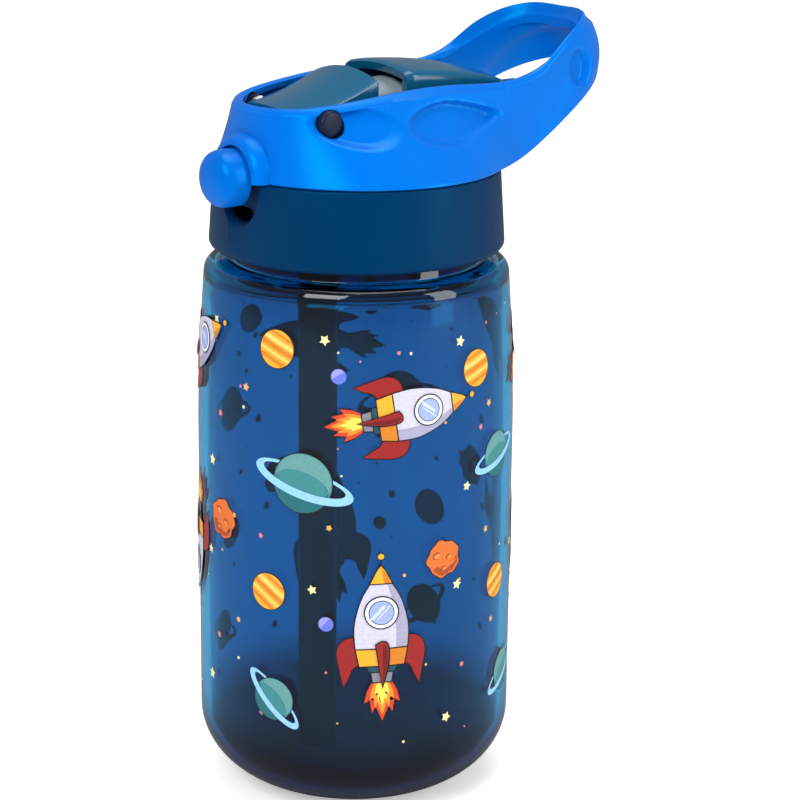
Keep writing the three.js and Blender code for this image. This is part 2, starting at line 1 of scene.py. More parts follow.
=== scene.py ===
"""Kids water bottle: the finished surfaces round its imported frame.

Shapes are drawn in millimetres and set down in metres. +Z is up, the push button faces -Y and the
carrying loop reaches out along +Y.
"""

import math
import random

import bmesh
import bpy
from mathutils import Matrix, Vector


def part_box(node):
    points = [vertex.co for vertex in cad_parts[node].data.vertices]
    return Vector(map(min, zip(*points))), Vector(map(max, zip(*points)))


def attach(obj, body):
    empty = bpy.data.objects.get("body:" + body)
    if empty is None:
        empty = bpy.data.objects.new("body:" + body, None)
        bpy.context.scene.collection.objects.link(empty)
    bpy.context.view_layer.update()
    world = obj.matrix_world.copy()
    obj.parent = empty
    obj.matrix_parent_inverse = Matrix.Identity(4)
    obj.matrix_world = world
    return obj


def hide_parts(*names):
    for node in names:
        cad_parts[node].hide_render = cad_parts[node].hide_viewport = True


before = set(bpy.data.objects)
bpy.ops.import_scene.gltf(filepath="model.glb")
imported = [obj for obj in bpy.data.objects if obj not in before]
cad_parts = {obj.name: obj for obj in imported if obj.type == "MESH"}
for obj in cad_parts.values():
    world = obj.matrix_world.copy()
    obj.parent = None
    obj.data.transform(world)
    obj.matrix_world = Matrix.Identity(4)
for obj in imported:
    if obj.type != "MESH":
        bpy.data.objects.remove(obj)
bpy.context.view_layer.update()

bl_info = {
    "name": "Kids Water Bottle",
    "version": (1, 0, 0),
    "blender": (4, 5, 0),
    "location": "3D View > Sidebar > Bottle",
    "description": "Builds the finished surfaces of a flip-spout kids water bottle round its frame",
    "category": "Object",
}

MM = 0.001


def node_box(name):
    """Lowest and highest corner of a frame node, in millimetres."""
    low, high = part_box(name)
    return low / MM, high / MM


BOTTLE_HIGH = node_box("bottle")[1]
CAP_LOW, CAP_HIGH = node_box("screw_cap")
SHROUD_LOW = node_box("handle_shroud")[0]
BUTTON_LOW, BUTTON_HIGH = node_box("push_button")
SPOUT_LOW, SPOUT_HIGH = node_box("spout_body")
MOUTH_LOW, MOUTH_HIGH = node_box("mouthpiece")
SHIELD_LOW, SHIELD_HIGH = node_box("spout_shield")
PIN_LOW, PIN_HIGH = node_box("hinge_pin_right")
STRAW_LOW, STRAW_HIGH = node_box("straw")

PIVOT = ((PIN_LOW.y + PIN_HIGH.y) / 2, (PIN_LOW.z + PIN_HIGH.z) / 2)    # y, z of the spout's pins
PIN_HEAD = (PIN_HIGH.y - PIN_LOW.y) / 2
PIN_SHANK = 1.6
HINGE = (36.5, 160.8)                 # y, z of the shield's pin
BUTTON_MIDDLE = (BUTTON_LOW.z + BUTTON_HIGH.z) / 2
BUTTON_OPENING = (BUTTON_HIGH.x - BUTTON_LOW.x) / 2 + 0.5
STRAW_WALL = 1.1
CAP_DRAFT = 1.1                       # how much narrower the cap is at its top
THREAD_PITCH = 4.5
THREAD_TURNS = 1.25
THREAD_RIDGE = 1.3


# ---------------------------------------------------------------- properties


def length(name, description, millimetres, **more):
    """A length property, given in millimetres and held in metres."""
    return bpy.props.FloatProperty(
        name=name, description=description, default=millimetres * MM, min=0.0, unit="LENGTH", **more)


def srgb(*channels):
    """Linear colour from three display values of 0 to 255."""
    linear = []
    for value in channels:
        share = value / 255
        linear.append(share / 12.92 if share <= 0.04045 else ((share + 0.055) / 1.055) ** 2.4)
    return tuple(linear)


def colour(name, description, *channels):
    """A colour property, given as three display values."""
    return bpy.props.FloatVectorProperty(
        name=name, description=description, default=srgb(*channels), subtype="COLOR", min=0.0, max=1.0)


class BottleSizes(bpy.types.PropertyGroup):
    """Sizes of the vessel, its lid and its trim."""

    wall: length("Wall", "Thickness of the clear vessel", 2.2)
    base_round: length("Base rounding", "Height of the rounding at the foot of the vessel", 17.5)
    taper: length("Taper", "How much the vessel narrows towards its shoulder", 1.6)
    shoulder: length("Shoulder", "Height of the shoulder", 127)
    neck: length("Neck", "Radius of the neck", 29.2)
    shroud_wall: length("Handle wall", "Thickness of the handle shroud's wall", 3)
    dish_depth: length("Dish depth", "Depth of the moulded hollows in the shroud's sides", 2.3)
    print_lift: length("Print lift", "Height of the first layer of ink above the vessel", 0.05)


class BottleColours(bpy.types.PropertyGroup):
    """Colours of the mouldings."""

    tint: colour("Vessel tint", "Colour of the clear vessel", 0, 134, 184)
    # The base tint is painted shade. The vessel's tint darkens to it towards the foot, for the shadowed floor
    # seen through the base, and above the shoulder, for the cap's shadow on the neck.
    painted_shade_tint: colour("Base tint", "Colour of the thick foot of the vessel", 14, 26, 66)
    shroud: colour("Shroud", "Handle shroud", 0, 100, 200)
    button: colour("Button", "Push button", 0, 94, 190)
    cap: colour("Cap", "Screw cap", 0, 44, 82)
    flip: colour("Flip parts", "Spout cover and shield", 4, 84, 118)
    core: colour("Core", "Frame, pins, straw and latch", 8, 22, 48)
    silicone: colour("Silicone", "Mouthpiece and seals", 150, 164, 172)


class StageSettings(bpy.types.PropertyGroup):
    """Camera and lights."""

    azimuth: bpy.props.FloatProperty(
        name="Azimuth", description="Turn of the camera from the button towards the right side",
        default=math.radians(52), subtype="ANGLE")
    pitch: bpy.props.FloatProperty(
        name="Pitch", description="Tilt of the camera down", default=0.280, subtype="ANGLE")
    roll: bpy.props.FloatProperty(
        name="Roll", description="Roll of the camera", default=0.011, subtype="ANGLE")
    distance: length("Distance", "From the bottle's middle to the camera", 600)
    aim_height: length("Aim height", "Height that the camera aims at", 92.4)
    aim_side: length("Aim side", "How far right of the axis the camera aims", 10.4)
    lens: bpy.props.FloatProperty(name="Lens", description="Focal length in millimetres", default=114.84)
    sky: bpy.props.FloatProperty(name="Sky", description="Strength of the white surroundings", default=0.6)


def sizes():
    """The bottle's sizes."""
    return bpy.context.scene.bottle_sizes


def shades():
    """The bottle's colours."""
    return bpy.context.scene.bottle_colours


# ---------------------------------------------------------------- mesh helpers


def arc(cx, cy, rx, ry, start, end, steps):
    """Points on an elliptical arc, from one angle to another in degrees."""
    angles = [math.radians(start + (end - start) * i / steps) for i in range(steps + 1)]
    return [(cx + rx * math.cos(a), cy + ry * math.sin(a)) for a in angles]


def curve_point(points, t):
    """A point on the closed centripetal curve through the points, t from 0 to 1."""
    count = len(points)
    whole, share = divmod(t * count, 1)
    a, b, c, d = (points[(int(whole) + k) % count] for k in (-1, 0, 1, 2))
    da, db, dc = (max((q - p).length, 1e-6) ** 0.5 for p, q in ((a, b), (b, c), (c, d)))
    out = ((b - a) / da - (c - a) / (da + db) + (c - b) / db) * db
    into = ((c - b) / db - (d - b) / (db + dc) + (d - c) / dc) * db
    return (b + out * share + (3 * (c - b) - 2 * out - into) * share ** 2
            + (2 * (b - c) + out + into) * share ** 3)


def smoothstep(value, low, high):
    """0 below the low value, 1 above the high one, and an eased climb between them."""
    share = min(max((value - low) / (high - low), 0), 1)
    return share * share * (3 - 2 * share)


def skin(rings, wrap=False):
    """A skin drawn through rings of points, each extruded from the one before it. Open ends are capped."""
    bm = bmesh.new()
    current = [bm.verts.new(p) for p in rings[0]]
    edges = [bm.edges.new(pair) for pair in zip(current, current[1:] + current[:1])]
    first = list(edges)
    for ring in rings[1:] + ([rings[0]] if wrap else []):
        made = bmesh.ops.extrude_edge_only(bm, edges=edges)["geom"]
        fresh = {tuple(v.co): v for v in made if isinstance(v, bmesh.types.BMVert)}
        current = [fresh[tuple(v.co)] for v in current]
        new = set(current)
        edges = [e for e in made if isinstance(e, bmesh.types.BMEdge) and new.issuperset(e.verts)]
        for vert, place in zip(current, ring):
            vert.co = place
    if wrap:
        bmesh.ops.remove_doubles(bm, verts=bm.verts, dist=1e-5)
    else:
        bmesh.ops.edgeloop_fill(bm, edges=first)
        bmesh.ops.edgeloop_fill(bm, edges=edges)
    bmesh.ops.recalc_face_normals(bm, faces=bm.faces)
    return bm


def spun(profile, steps, centre=(0, 0, 0), axis=(0, 0, 1)):
    """A closed round form: the profile's points are (radius, height along the axis)."""
    turn = Vector((0, 0, 1)).rotation_difference(Vector(axis)).to_matrix().to_4x4()
    bm = bmesh.new()
    verts = [bm.verts.new((r, 0, h)) for r, h in profile]
    closed = profile[0][0] > 0
    pairs = list(zip(verts, verts[1:])) + ([(verts[-1], verts[0])] if closed else [])
    edges = [bm.edges.new(pair) for pair in pairs]
    bmesh.ops.spin(bm, geom=verts + edges, cent=(0, 0, 0), axis=(0, 0, 1), angle=math.tau,
                   steps=steps, use_merge=True)
    bmesh.ops.remove_doubles(bm, verts=bm.verts, dist=1e-4)
    bmesh.ops.recalc_face_normals(bm, faces=bm.faces)
    bmesh.ops.transform(bm, matrix=Matrix.Translation(centre) @ turn, verts=bm.verts)
    return bm


def bevel(bm, width, segments=3, angle=40):
    """Rounds every edge that is sharper than an angle in degrees."""
    limit = math.radians(angle)
    edges = [e for e in bm.edges if len(e.link_faces) == 2 and e.calc_face_angle(0) > limit]
    bmesh.ops.bevel(bm, geom=edges, offset=width, offset_type="OFFSET", affect="EDGES",
                    segments=segments, profile=0.5, material=-1, clamp_overlap=True)
    return bm


def block(low, high, width=0.4):
    """A box with rounded edges."""
    bm = bmesh.new()
    bmesh.ops.create_cube(bm, size=1)
    low, high = Vector(low), Vector(high)
    bmesh.ops.scale(bm, vec=high - low, verts=bm.verts)
    bmesh.ops.translate(bm, vec=(low + high) / 2, verts=bm.verts)
    return bevel(bm, width)


def sheet(across, along, place):
    """A grid of cells set down by place(u, v), with u and v from -1 to 1."""
    bm = bmesh.new()
    bmesh.ops.create_grid(bm, x_segments=across, y_segments=along, size=1)
    for vert in bm.verts:
        vert.co = place(vert.co.x, vert.co.y)
    return bm


def joined(*parts):
    """Several meshes in one."""
    total = bmesh.new()
    for part in parts:
        mesh = bpy.data.meshes.new("part")
        part.to_mesh(mesh)
        total.from_mesh(mesh)
        bpy.data.meshes.remove(mesh)
        part.free()
    return total


def combined(body, tool, operation, solver="EXACT"):
    """The body with the tool cut away or joined on."""
    pair = []
    for bm in (body, tool):
        mesh = bpy.data.meshes.new("work")
        bm.to_mesh(mesh)
        bm.free()
        pair.append(bpy.data.objects.new("work", mesh))
        bpy.context.scene.collection.objects.link(pair[-1])
    modifier = pair[0].modifiers.new("combine", "BOOLEAN")
    modifier.operation = operation
    modifier.solver = solver
    modifier.object = pair[1]
    graph = bpy.context.evaluated_depsgraph_get()
    result = bmesh.new()
    result.from_mesh(pair[0].evaluated_get(graph).to_mesh())
    for item in pair:
        bpy.data.meshes.remove(item.data)
    bmesh.ops.remove_doubles(result, verts=result.verts, dist=1e-4)
    return result


def merged_copy(name, width=0.0):
    """A frame node's mesh as one joined skin, in millimetres, with its sharp edges rounded by a width."""
    bm = bmesh.new()
    bm.from_mesh(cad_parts[name].data)
    bmesh.ops.scale(bm, vec=(1 / MM,) * 3, verts=bm.verts)
    bmesh.ops.remove_doubles(bm, verts=bm.verts, dist=1e-3)
    bmesh.ops.dissolve_limit(bm, angle_limit=math.radians(0.6), verts=bm.verts, edges=bm.edges)
    if width:
        bevel(bm, width, segments=2)
    return bm


def piece(name, bm, material, body, replaces=(), sharp=38):
    """A finished piece of the bottle, in metres, that rides on a body of the frame."""
    bmesh.ops.scale(bm, vec=(MM,) * 3, verts=bm.verts)
    mesh = bpy.data.meshes.new(name)
    bm.to_mesh(mesh)
    bm.free()
    mesh.polygons.foreach_set("use_smooth", [True] * len(mesh.polygons))
    mesh.set_sharp_from_angle(angle=math.radians(sharp))
    mesh.materials.append(material)
    item = bpy.data.objects.new(name, mesh)
    bpy.context.scene.collection.objects.link(item)
    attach(item, body)
    if replaces:
        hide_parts(*replaces)
    return item


# ---------------------------------------------------------------- materials


def put(tree, kind, inputs=(), **settings):
    """A node with its settings, and its inputs given as values or as sockets to link from."""
    made = tree.nodes.new(kind)
    for key, value in settings.items():
        setattr(made, key, value)
    for key, value in dict(inputs).items():
        if isinstance(value, bpy.types.NodeSocket):
            tree.links.new(value, made.inputs[key])
        else:
            made.inputs[key].default_value = value
    return made


def shader_group(name, inputs, outputs):
    """An empty node group with named float sockets, and its two end nodes."""
    group = bpy.data.node_groups.new(name, "ShaderNodeTree")
    for label, default in inputs:
        socket = group.interface.new_socket(label, in_out="INPUT", socket_type="NodeSocketFloat")
        socket.default_value = default
    for label in outputs:
        group.interface.new_socket(label, in_out="OUTPUT", socket_type="NodeSocketFloat")
    return group, group.nodes.new("NodeGroupInput"), group.nodes.new("NodeGroupOutput")


def moulded_surface():
    """Fine mould grain, soft flow marks and a few hair scratches."""
    name = "moulded_surface"
    if name in bpy.data.node_groups:
        return bpy.data.node_groups[name]
    group, given, result = shader_group(
        name, (("Grain", 1.0), ("Roughness", 0.3), ("Spread", 0.06)), ("Tone", "Roughness", "Height"))
    place = put(group, "ShaderNodeTexCoord").outputs["Object"]
    grain = put(group, "ShaderNodeTexNoise", {"Vector": place, "Scale": 2600.0, "Detail": 3.0})
    flow = put(group, "ShaderNodeTexNoise", {"Vector": place, "Scale": 34.0, "Detail": 4.0,
                                             "Distortion": 0.6})
    long_way = put(group, "ShaderNodeMapping", {"Vector": place, "Scale": (900.0, 900.0, 26.0),
                                                "Rotation": (0.5, 0.3, 0.0)})
    hair = put(group, "ShaderNodeTexNoise", {"Vector": long_way.outputs[0], "Scale": 1.0, "Detail": 1.0})
    scratch = put(group, "ShaderNodeMapRange", {"Value": hair.outputs["Fac"], "From Min": 0.70,
                                                "From Max": 0.78, "To Min": 0.0, "To Max": 1.0})
    spread = put(group, "ShaderNodeMath", {0: flow.outputs["Fac"], 1: 0.5}, operation="SUBTRACT")
    wide = put(group, "ShaderNodeMath", {0: spread.outputs[0], 1: given.outputs["Spread"],
                                         2: given.outputs["Roughness"]}, operation="MULTIPLY_ADD")
    marked = put(group, "ShaderNodeMath", {0: scratch.outputs[0], 1: 0.08, 2: wide.outputs[0]},
                 operation="MULTIPLY_ADD")
    fine = put(group, "ShaderNodeMath", {0: grain.outputs["Fac"], 1: given.outputs["Grain"]},
               operation="MULTIPLY")
    high = put(group, "ShaderNodeMath", {0: flow.outputs["Fac"], 1: 0.8, 2: fine.outputs[0]},
               operation="MULTIPLY_ADD")
    group.links.new(flow.outputs["Fac"], result.inputs["Tone"])
    group.links.new(marked.outputs[0], result.inputs["Roughness"])
    group.links.new(high.outputs[0], result.inputs["Height"])
    return group


def dressed(name, grain, roughness, spread, relief):
    """A new material with the moulded surface linked to its roughness and normal."""
    material = bpy.data.materials.new(name)
    material.use_nodes = True
    tree = material.node_tree
    shader = tree.nodes["Principled BSDF"]
    surface = put(tree, "ShaderNodeGroup", node_tree=moulded_surface())
    for label, value in (("Grain", grain), ("Roughness", roughness), ("Spread", spread)):
        surface.inputs[label].default_value = value
    relief_node = put(tree, "ShaderNodeBump", {"Height": surface.outputs["Height"], "Strength": relief,
                                               "Distance": 0.00006})
    tree.links.new(surface.outputs["Roughness"], shader.inputs["Roughness"])
    tree.links.new(relief_node.outputs["Normal"], shader.inputs["Normal"])
    return material, tree, shader, surface


def two_tone(tree, factor, low, high):
    """A colour that wanders between two near tones."""
    mix = tree.nodes.new("ShaderNodeMix")
    mix.data_type = "RGBA"
    tree.links.new(factor, mix.inputs["Factor"])
    mix.inputs[6].default_value = (*low, 1)
    mix.inputs[7].default_value = (*high, 1)
    return mix.outputs[2]


def plastic(name, tint, roughness, gloss, sheen=(1, 1, 1), grain=0.5, relief=0.35, coat=0.0):
    """An opaque moulded plastic."""
    if name in bpy.data.materials:
        return bpy.data.materials[name]
    material, tree, shader, surface = dressed(name, grain, roughness, 0.08, relief)
    tone = two_tone(tree, surface.outputs["Tone"], [c * 0.9 for c in tint], [c * 1.08 for c in tint])
    tree.links.new(tone, shader.inputs["Base Color"])
    shader.inputs["Specular IOR Level"].default_value = gloss
    shader.inputs["Specular Tint"].default_value = (*sheen, 1)
    shader.inputs["Coat Weight"].default_value = coat
    shader.inputs["Coat Roughness"].default_value = 0.12
    return material


# Blue plastics mirror the light with a blue sheen.
SATIN_SHEEN = srgb(30, 170, 235)
GLOSS_SHEEN = srgb(0, 205, 255)


def cap_plastic():
    """The screw cap's dark satin plastic."""
    return plastic("cap_satin", tuple(shades().cap), 0.42, 0.3, SATIN_SHEEN, grain=0.9, relief=0.5)


def shroud_plastic():
    """The handle shroud's bright semi-gloss plastic."""
    return plastic("shroud_semi_gloss", tuple(shades().shroud), 0.3, 0.6, GLOSS_SHEEN, relief=0.3)


def button_plastic():
    """The push button's bright semi-gloss plastic."""
    return plastic("button_semi_gloss", tuple(shades().button), 0.3, 0.6, GLOSS_SHEEN, relief=0.3)


def flip_plastic():
    """The spout cover's and the shield's glossy plastic."""
    return plastic("flip_gloss", tuple(shades().flip), 0.2, 0.45, grain=0.25, relief=0.2, coat=0.25)


def core_plastic():
    """The dark satin plastic of the parts inside the lid."""
    return plastic("core_satin", tuple(shades().core), 0.38, 0.25, grain=0.6, relief=0.35)


def silicone():
    """Milky soft rubber that lets some light through."""
    name = "silicone_milky"
    if name in bpy.data.materials:
        return bpy.data.materials[name]
    material, tree, shader, surface = dressed(name, 0.7, 0.46, 0.1, 0.3)
    tint = tuple(shades().silicone)
    tone = two_tone(tree, surface.outputs["Tone"], [c * 0.88 for c in tint], [c * 1.1 for c in tint])
    tree.links.new(tone, shader.inputs["Base Color"])
    shader.inputs["Subsurface Weight"].default_value = 0.35
    shader.inputs["Subsurface Radius"].default_value = (0.004, 0.004, 0.005)
    shader.inputs["Subsurface Scale"].default_value = 0.5
    return material


def wire_steel():
    """Drawn spring wire."""
    name = "spring_steel"
    if name in bpy.data.materials:
        return bpy.data.materials[name]
    material, tree, shader, surface = dressed(name, 0.8, 0.28, 0.12, 0.4)
    tone = two_tone(tree, surface.outputs["Tone"], srgb(150, 152, 158), srgb(206, 208, 214))
    tree.links.new(tone, shader.inputs["Base Color"])
    shader.inputs["Metallic"].default_value = 1.0
    return material


def clear_tint():
    """Clear tinted plastic with painted shade, darker towards the foot and above the shoulder, and with faint
    vertical draw marks.
    """
    name = "vessel_clear"
    if name in bpy.data.materials:
        return bpy.data.materials[name]
    material = bpy.data.materials.new(name)
    material.use_nodes = True
    tree = material.node_tree
    shader = tree.nodes["Principled BSDF"]
    place = put(tree, "ShaderNodeTexCoord").outputs["Object"]
    height = put(tree, "ShaderNodeSeparateXYZ", {0: place}).outputs["Z"]
    # Painted shade: darker towards the foot, for the shadowed floor seen through the base.
    foot = put(tree, "ShaderNodeMapRange", {"Value": height, "From Min": sizes().base_round * 0.5,
                                            "From Max": sizes().base_round * 1.5, "To Min": 1.0,
                                            "To Max": 0.0}, interpolation_type="SMOOTHSTEP")
    cloud = put(tree, "ShaderNodeTexNoise", {"Vector": place, "Scale": 22.0, "Detail": 2.0})
    # Painted shade: darker above the shoulder, for the cap's shadow on the neck.
    neck = put(tree, "ShaderNodeMapRange", {"Value": height, "From Min": sizes().shoulder - 0.0002,
                                            "From Max": sizes().shoulder + 0.0008, "To Min": 0.0,
                                            "To Max": 1.0})
    painted_shade = put(tree, "ShaderNodeMath", {0: foot.outputs[0], 1: neck.outputs[0]}, operation="MAXIMUM")
    tone_and_painted_shade = put(tree, "ShaderNodeMath", {0: cloud.outputs["Fac"], 1: 0.12, 2: painted_shade.outputs[0]},
                 operation="MULTIPLY_ADD", use_clamp=True)
    tone = two_tone(tree, tone_and_painted_shade.outputs[0], tuple(shades().tint), tuple(shades().painted_shade_tint))
    tree.links.new(tone, shader.inputs["Base Color"])
    drawn = put(tree, "ShaderNodeMapping", {"Vector": place, "Scale": (170.0, 170.0, 3.0)})
    marks = put(tree, "ShaderNodeTexNoise", {"Vector": drawn.outputs[0], "Scale": 1.0, "Detail": 2.0})
    bump = put(tree, "ShaderNodeBump", {"Height": marks.outputs["Fac"], "Strength": 0.06, "Distance": 0.0002})
    tree.links.new(bump.outputs["Normal"], shader.inputs["Normal"])
    smear = put(tree, "ShaderNodeTexNoise", {"Vector": place, "Scale": 60.0, "Detail": 4.0})
    rough = put(tree, "ShaderNodeMapRange", {"Value": smear.outputs["Fac"], "From Min": 0.4,
                                             "From Max": 0.75, "To Min": 0.015, "To Max": 0.06})
    tree.links.new(rough.outputs[0], shader.inputs["Roughness"])
    shader.inputs["Transmission Weight"].default_value = 1.0
    shader.inputs["IOR"].default_value = 1.5
    return material


def print_ink():
    """Screen-printed ink: its colour comes from the mesh, and its back is painted near-black as painted
    shade, for the shade inside the vessel.
    """
    name = "print_ink"
    if name in bpy.data.materials:
        return bpy.data.materials[name]
    material, tree, shader, surface = dressed(name, 0.5, 0.34, 0.1, 0.25)
    paint = put(tree, "ShaderNodeAttribute", attribute_name="ink").outputs["Color"]
    place = put(tree, "ShaderNodeTexCoord").outputs["Object"]
    speck = put(tree, "ShaderNodeTexNoise", {"Vector": place, "Scale": 1500.0, "Detail": 2.0})
    fade = put(tree, "ShaderNodeMapRange", {"Value": speck.outputs["Fac"], "From Min": 0.3,
                                            "From Max": 0.7, "To Min": 0.9, "To Max": 1.04})
    worn = tree.nodes.new("ShaderNodeMix")
    worn.data_type = "RGBA"
    worn.blend_type = "MULTIPLY"
    worn.inputs[0].default_value = 1.0
    tree.links.new(paint, worn.inputs[6])
    tree.links.new(fade.outputs[0], worn.inputs[7])
    # Painted shade: the ink's back is near-black, for the shade inside the vessel.
    back = put(tree, "ShaderNodeNewGeometry").outputs["Backfacing"]
    sides = tree.nodes.new("ShaderNodeMix")
    sides.data_type = "RGBA"
    tree.links.new(back, sides.inputs[0])
    tree.links.new(worn.outputs[2], sides.inputs[6])
    sides.inputs[7].default_value = (0.004, 0.006, 0.012, 1)
    tree.links.new(sides.outputs[2], shader.inputs["Base Color"])
    return material


# ---------------------------------------------------------------- vessel


TAPER_START = 88          # height where the vessel starts to narrow
SHOULDER_RADIUS = 33
SHOULDER_ROUND = 3.2
BASE_FLAT = BOTTLE_HIGH.x - 21
NECK_THREAD_LOW = 132.6
CAP_THREAD_LOW = 130.6


def taper_at(height):
    """How far the wall stands in from the vessel's full radius at a height above the taper's start."""
    top = sizes().shoulder / MM - SHOULDER_ROUND
    return sizes().taper / MM * max((height - TAPER_START) / (top - TAPER_START), 0) ** 1.6


def wall_radius(height):
    """Outer radius of the vessel at a height between its base and its shoulder."""
    foot = sizes().base_round / MM
    if height < foot:
        return BASE_FLAT + (BOTTLE_HIGH.x - BASE_FLAT) * math.sqrt(1 - ((foot - height) / foot) ** 2)
    return BOTTLE_HIGH.x - taper_at(height)


def vessel_form():
    """The blown vessel: rounded foot, straight wall, slight taper, shoulder and open neck."""
    s = sizes()
    wall, foot, top = s.wall / MM, s.base_round / MM, s.shoulder / MM - SHOULDER_ROUND
    neck = s.neck / MM
    shoulder = BOTTLE_HIGH.x - s.taper / MM - SHOULDER_RADIUS
    out = BOTTLE_HIGH.x - BASE_FLAT
    rise = [TAPER_START + (top - TAPER_START) * i / 10 for i in range(11)]
    lip = 0.7
    outer = ([(0, 0), (BASE_FLAT * 0.5, 0)] + arc(BASE_FLAT, foot, out, foot, -90, 0, 24)
             + [(BOTTLE_HIGH.x, z) for z in (30, 45, 60, 75)]
             + [(BOTTLE_HIGH.x - taper_at(z), z) for z in rise]
             + arc(SHOULDER_RADIUS, top, shoulder, SHOULDER_ROUND, 0, 90, 10)[1:]
             + arc(neck + lip, top + SHOULDER_ROUND + lip, lip, lip, 270, 180, 4)
             + arc(neck - lip, BOTTLE_HIGH.z - lip, lip, lip, 0, 90, 4))
    inner = (arc(neck - wall + lip, BOTTLE_HIGH.z - lip, lip, lip, 90, 180, 4)
             + [(neck - wall, top + SHOULDER_ROUND - wall)]
             + arc(SHOULDER_RADIUS - wall, top - wall, shoulder, SHOULDER_ROUND, 90, 0, 10)[1:]
             + [(BOTTLE_HIGH.x - wall - taper_at(z), z) for z in reversed(rise[:-1])]
             + [(BOTTLE_HIGH.x - wall, z) for z in (75, 60, 45, 30)]
             + arc(BASE_FLAT, foot, out - wall, foot - wall, 0, -90, 20) + [(0, wall)])
    return spun(outer + inner, 144)


def thread_form(radius, low):
    """One and a quarter turns of round thread, thinner at both ends."""
    steps = 110
    rings = []
    for i in range(steps + 1):
        angle = math.tau * THREAD_TURNS * i / steps
        size = THREAD_RIDGE * min(1, 0.2 + 6 * min(i, steps - i) / steps)
        middle = low + THREAD_PITCH * THREAD_TURNS * i / steps
        rings.append([
            ((radius + r) * Vector((math.cos(angle), math.sin(angle), 0)) + Vector((0, 0, middle + z)))
            for r, z in arc(0, 0, size, size, 0, 324, 9)])
    return skin(rings)


class BOTTLE_OT_vessel(bpy.types.Operator):
    """Make the clear vessel with its screw thread"""

    bl_idname = "bottle.vessel"
    bl_label = "Clear vessel"

    def execute(self, context):
        form = joined(vessel_form(), thread_form(sizes().neck / MM, NECK_THREAD_LOW))
        piece("vessel_wall", form, clear_tint(), "vessel", ["bottle"])
        return {"FINISHED"}


# ---------------------------------------------------------------- print


INK = {
    "line": srgb(22, 18, 26), "hull": srgb(196, 194, 212), "hull_dark": srgb(158, 156, 182),
    "rim": srgb(228, 230, 240), "pane": srgb(150, 166, 222), "glint": srgb(196, 208, 244),
    "fin": srgb(150, 20, 18), "fin_dark": srgb(112, 12, 14), "gold": srgb(240, 166, 24),
    "gold_dark": srgb(206, 120, 14), "collar": srgb(30, 76, 88), "nozzle": srgb(126, 126, 140),
    "flame": srgb(206, 58, 16), "fire": srgb(246, 138, 22), "heart": srgb(254, 226, 80),
    "teal": srgb(52, 132, 134), "teal_light": srgb(92, 150, 150), "teal_dark": srgb(20, 104, 112),
    "ring": srgb(138, 196, 238), "sun": srgb(238, 164, 34), "sun_light": srgb(250, 204, 102),
    "sun_dark": srgb(212, 124, 16), "rock": srgb(214, 104, 26), "rock_dark": srgb(166, 66, 20),
    "rock_light": srgb(232, 134, 52), "moon": srgb(92, 112, 214), "moon_light": srgb(146, 146, 232),
    "star": srgb(236, 232, 160), "star_gold": srgb(226, 170, 84), "star_rose": srgb(214, 118, 122),
}
LAYER = 0.016             # thickness of one pass of ink
CELL = 1.6                # longest flat stretch of ink round the vessel


class Motif:
    """One flat printed picture, built up ink by ink."""

    def __init__(self):
        self.bm = bmesh.new()
        self.tint = self.bm.loops.layers.float_color.new("ink")
        self.level = 0

    def ink(self, points, shade):
        """Fills a closed outline with one ink, over what is there."""
        self.level += 1
        face = self.bm.faces.new([self.bm.verts.new((x, y, self.level * LAYER)) for x, y in points])
        face.normal_update()
        if face.normal.z < 0:
            face.normal_flip()
        for loop in face.loops:
            loop[self.tint] = (*INK[shade], 1)

    def drawn(self, points, shade, line=0.3):
        """An ink with a dark line round it."""
        self.ink(widened(points, line), "line")
        self.ink(points, shade)


def widened(points, width):
    """The outline moved outwards by a width."""
    flat = [Vector(p) for p in points]
    count = len(flat)
    area = sum(flat[i].cross(flat[(i + 1) % count]) for i in range(count))
    side = 1 if area > 0 else -1
    result = []
    for i, point in enumerate(flat):
        before = (point - flat[i - 1]).normalized()
        after = (flat[(i + 1) % count] - point).normalized()
        normal = Vector((before.y + after.y, -before.x - after.x)) * side
        if normal.length < 1e-6:
            normal = Vector((before.y, -before.x)) * side
        normal.normalize()
        reach = width / max(normal.dot(Vector((before.y, -before.x)) * side), 0.5)
        result.append(point + normal * reach)
    return result


def both_sides(half):
    """A closed outline from its right half, listed from top to bottom."""
    return [(-x, y) for x, y in half] + [(x, y) for x, y in reversed(half)]


def eased(points, steps=5):
    """A smooth open line through the points."""
    flat = [Vector(p) for p in points]
    ends = [2 * flat[0] - flat[1]] + flat + [2 * flat[-1] - flat[-2]]
    line = []
    for i in range(len(flat) - 1):
        a, b, c, d = ends[i:i + 4]
        for k in range(steps):
            t = k / steps
            line.append(0.5 * (2 * b + (c - a) * t + (2 * a - 5 * b + 4 * c - d) * t * t
                               + (3 * b - a - 3 * c + d) * t ** 3))
    return line + [flat[-1]]


def disc(radius, centre=(0, 0), squash=1.0, steps=40):
    """The outline of a disc or a flattened disc."""
    return arc(centre[0], centre[1], radius, radius * squash, 0, 360 * (1 - 1 / steps), steps - 1)


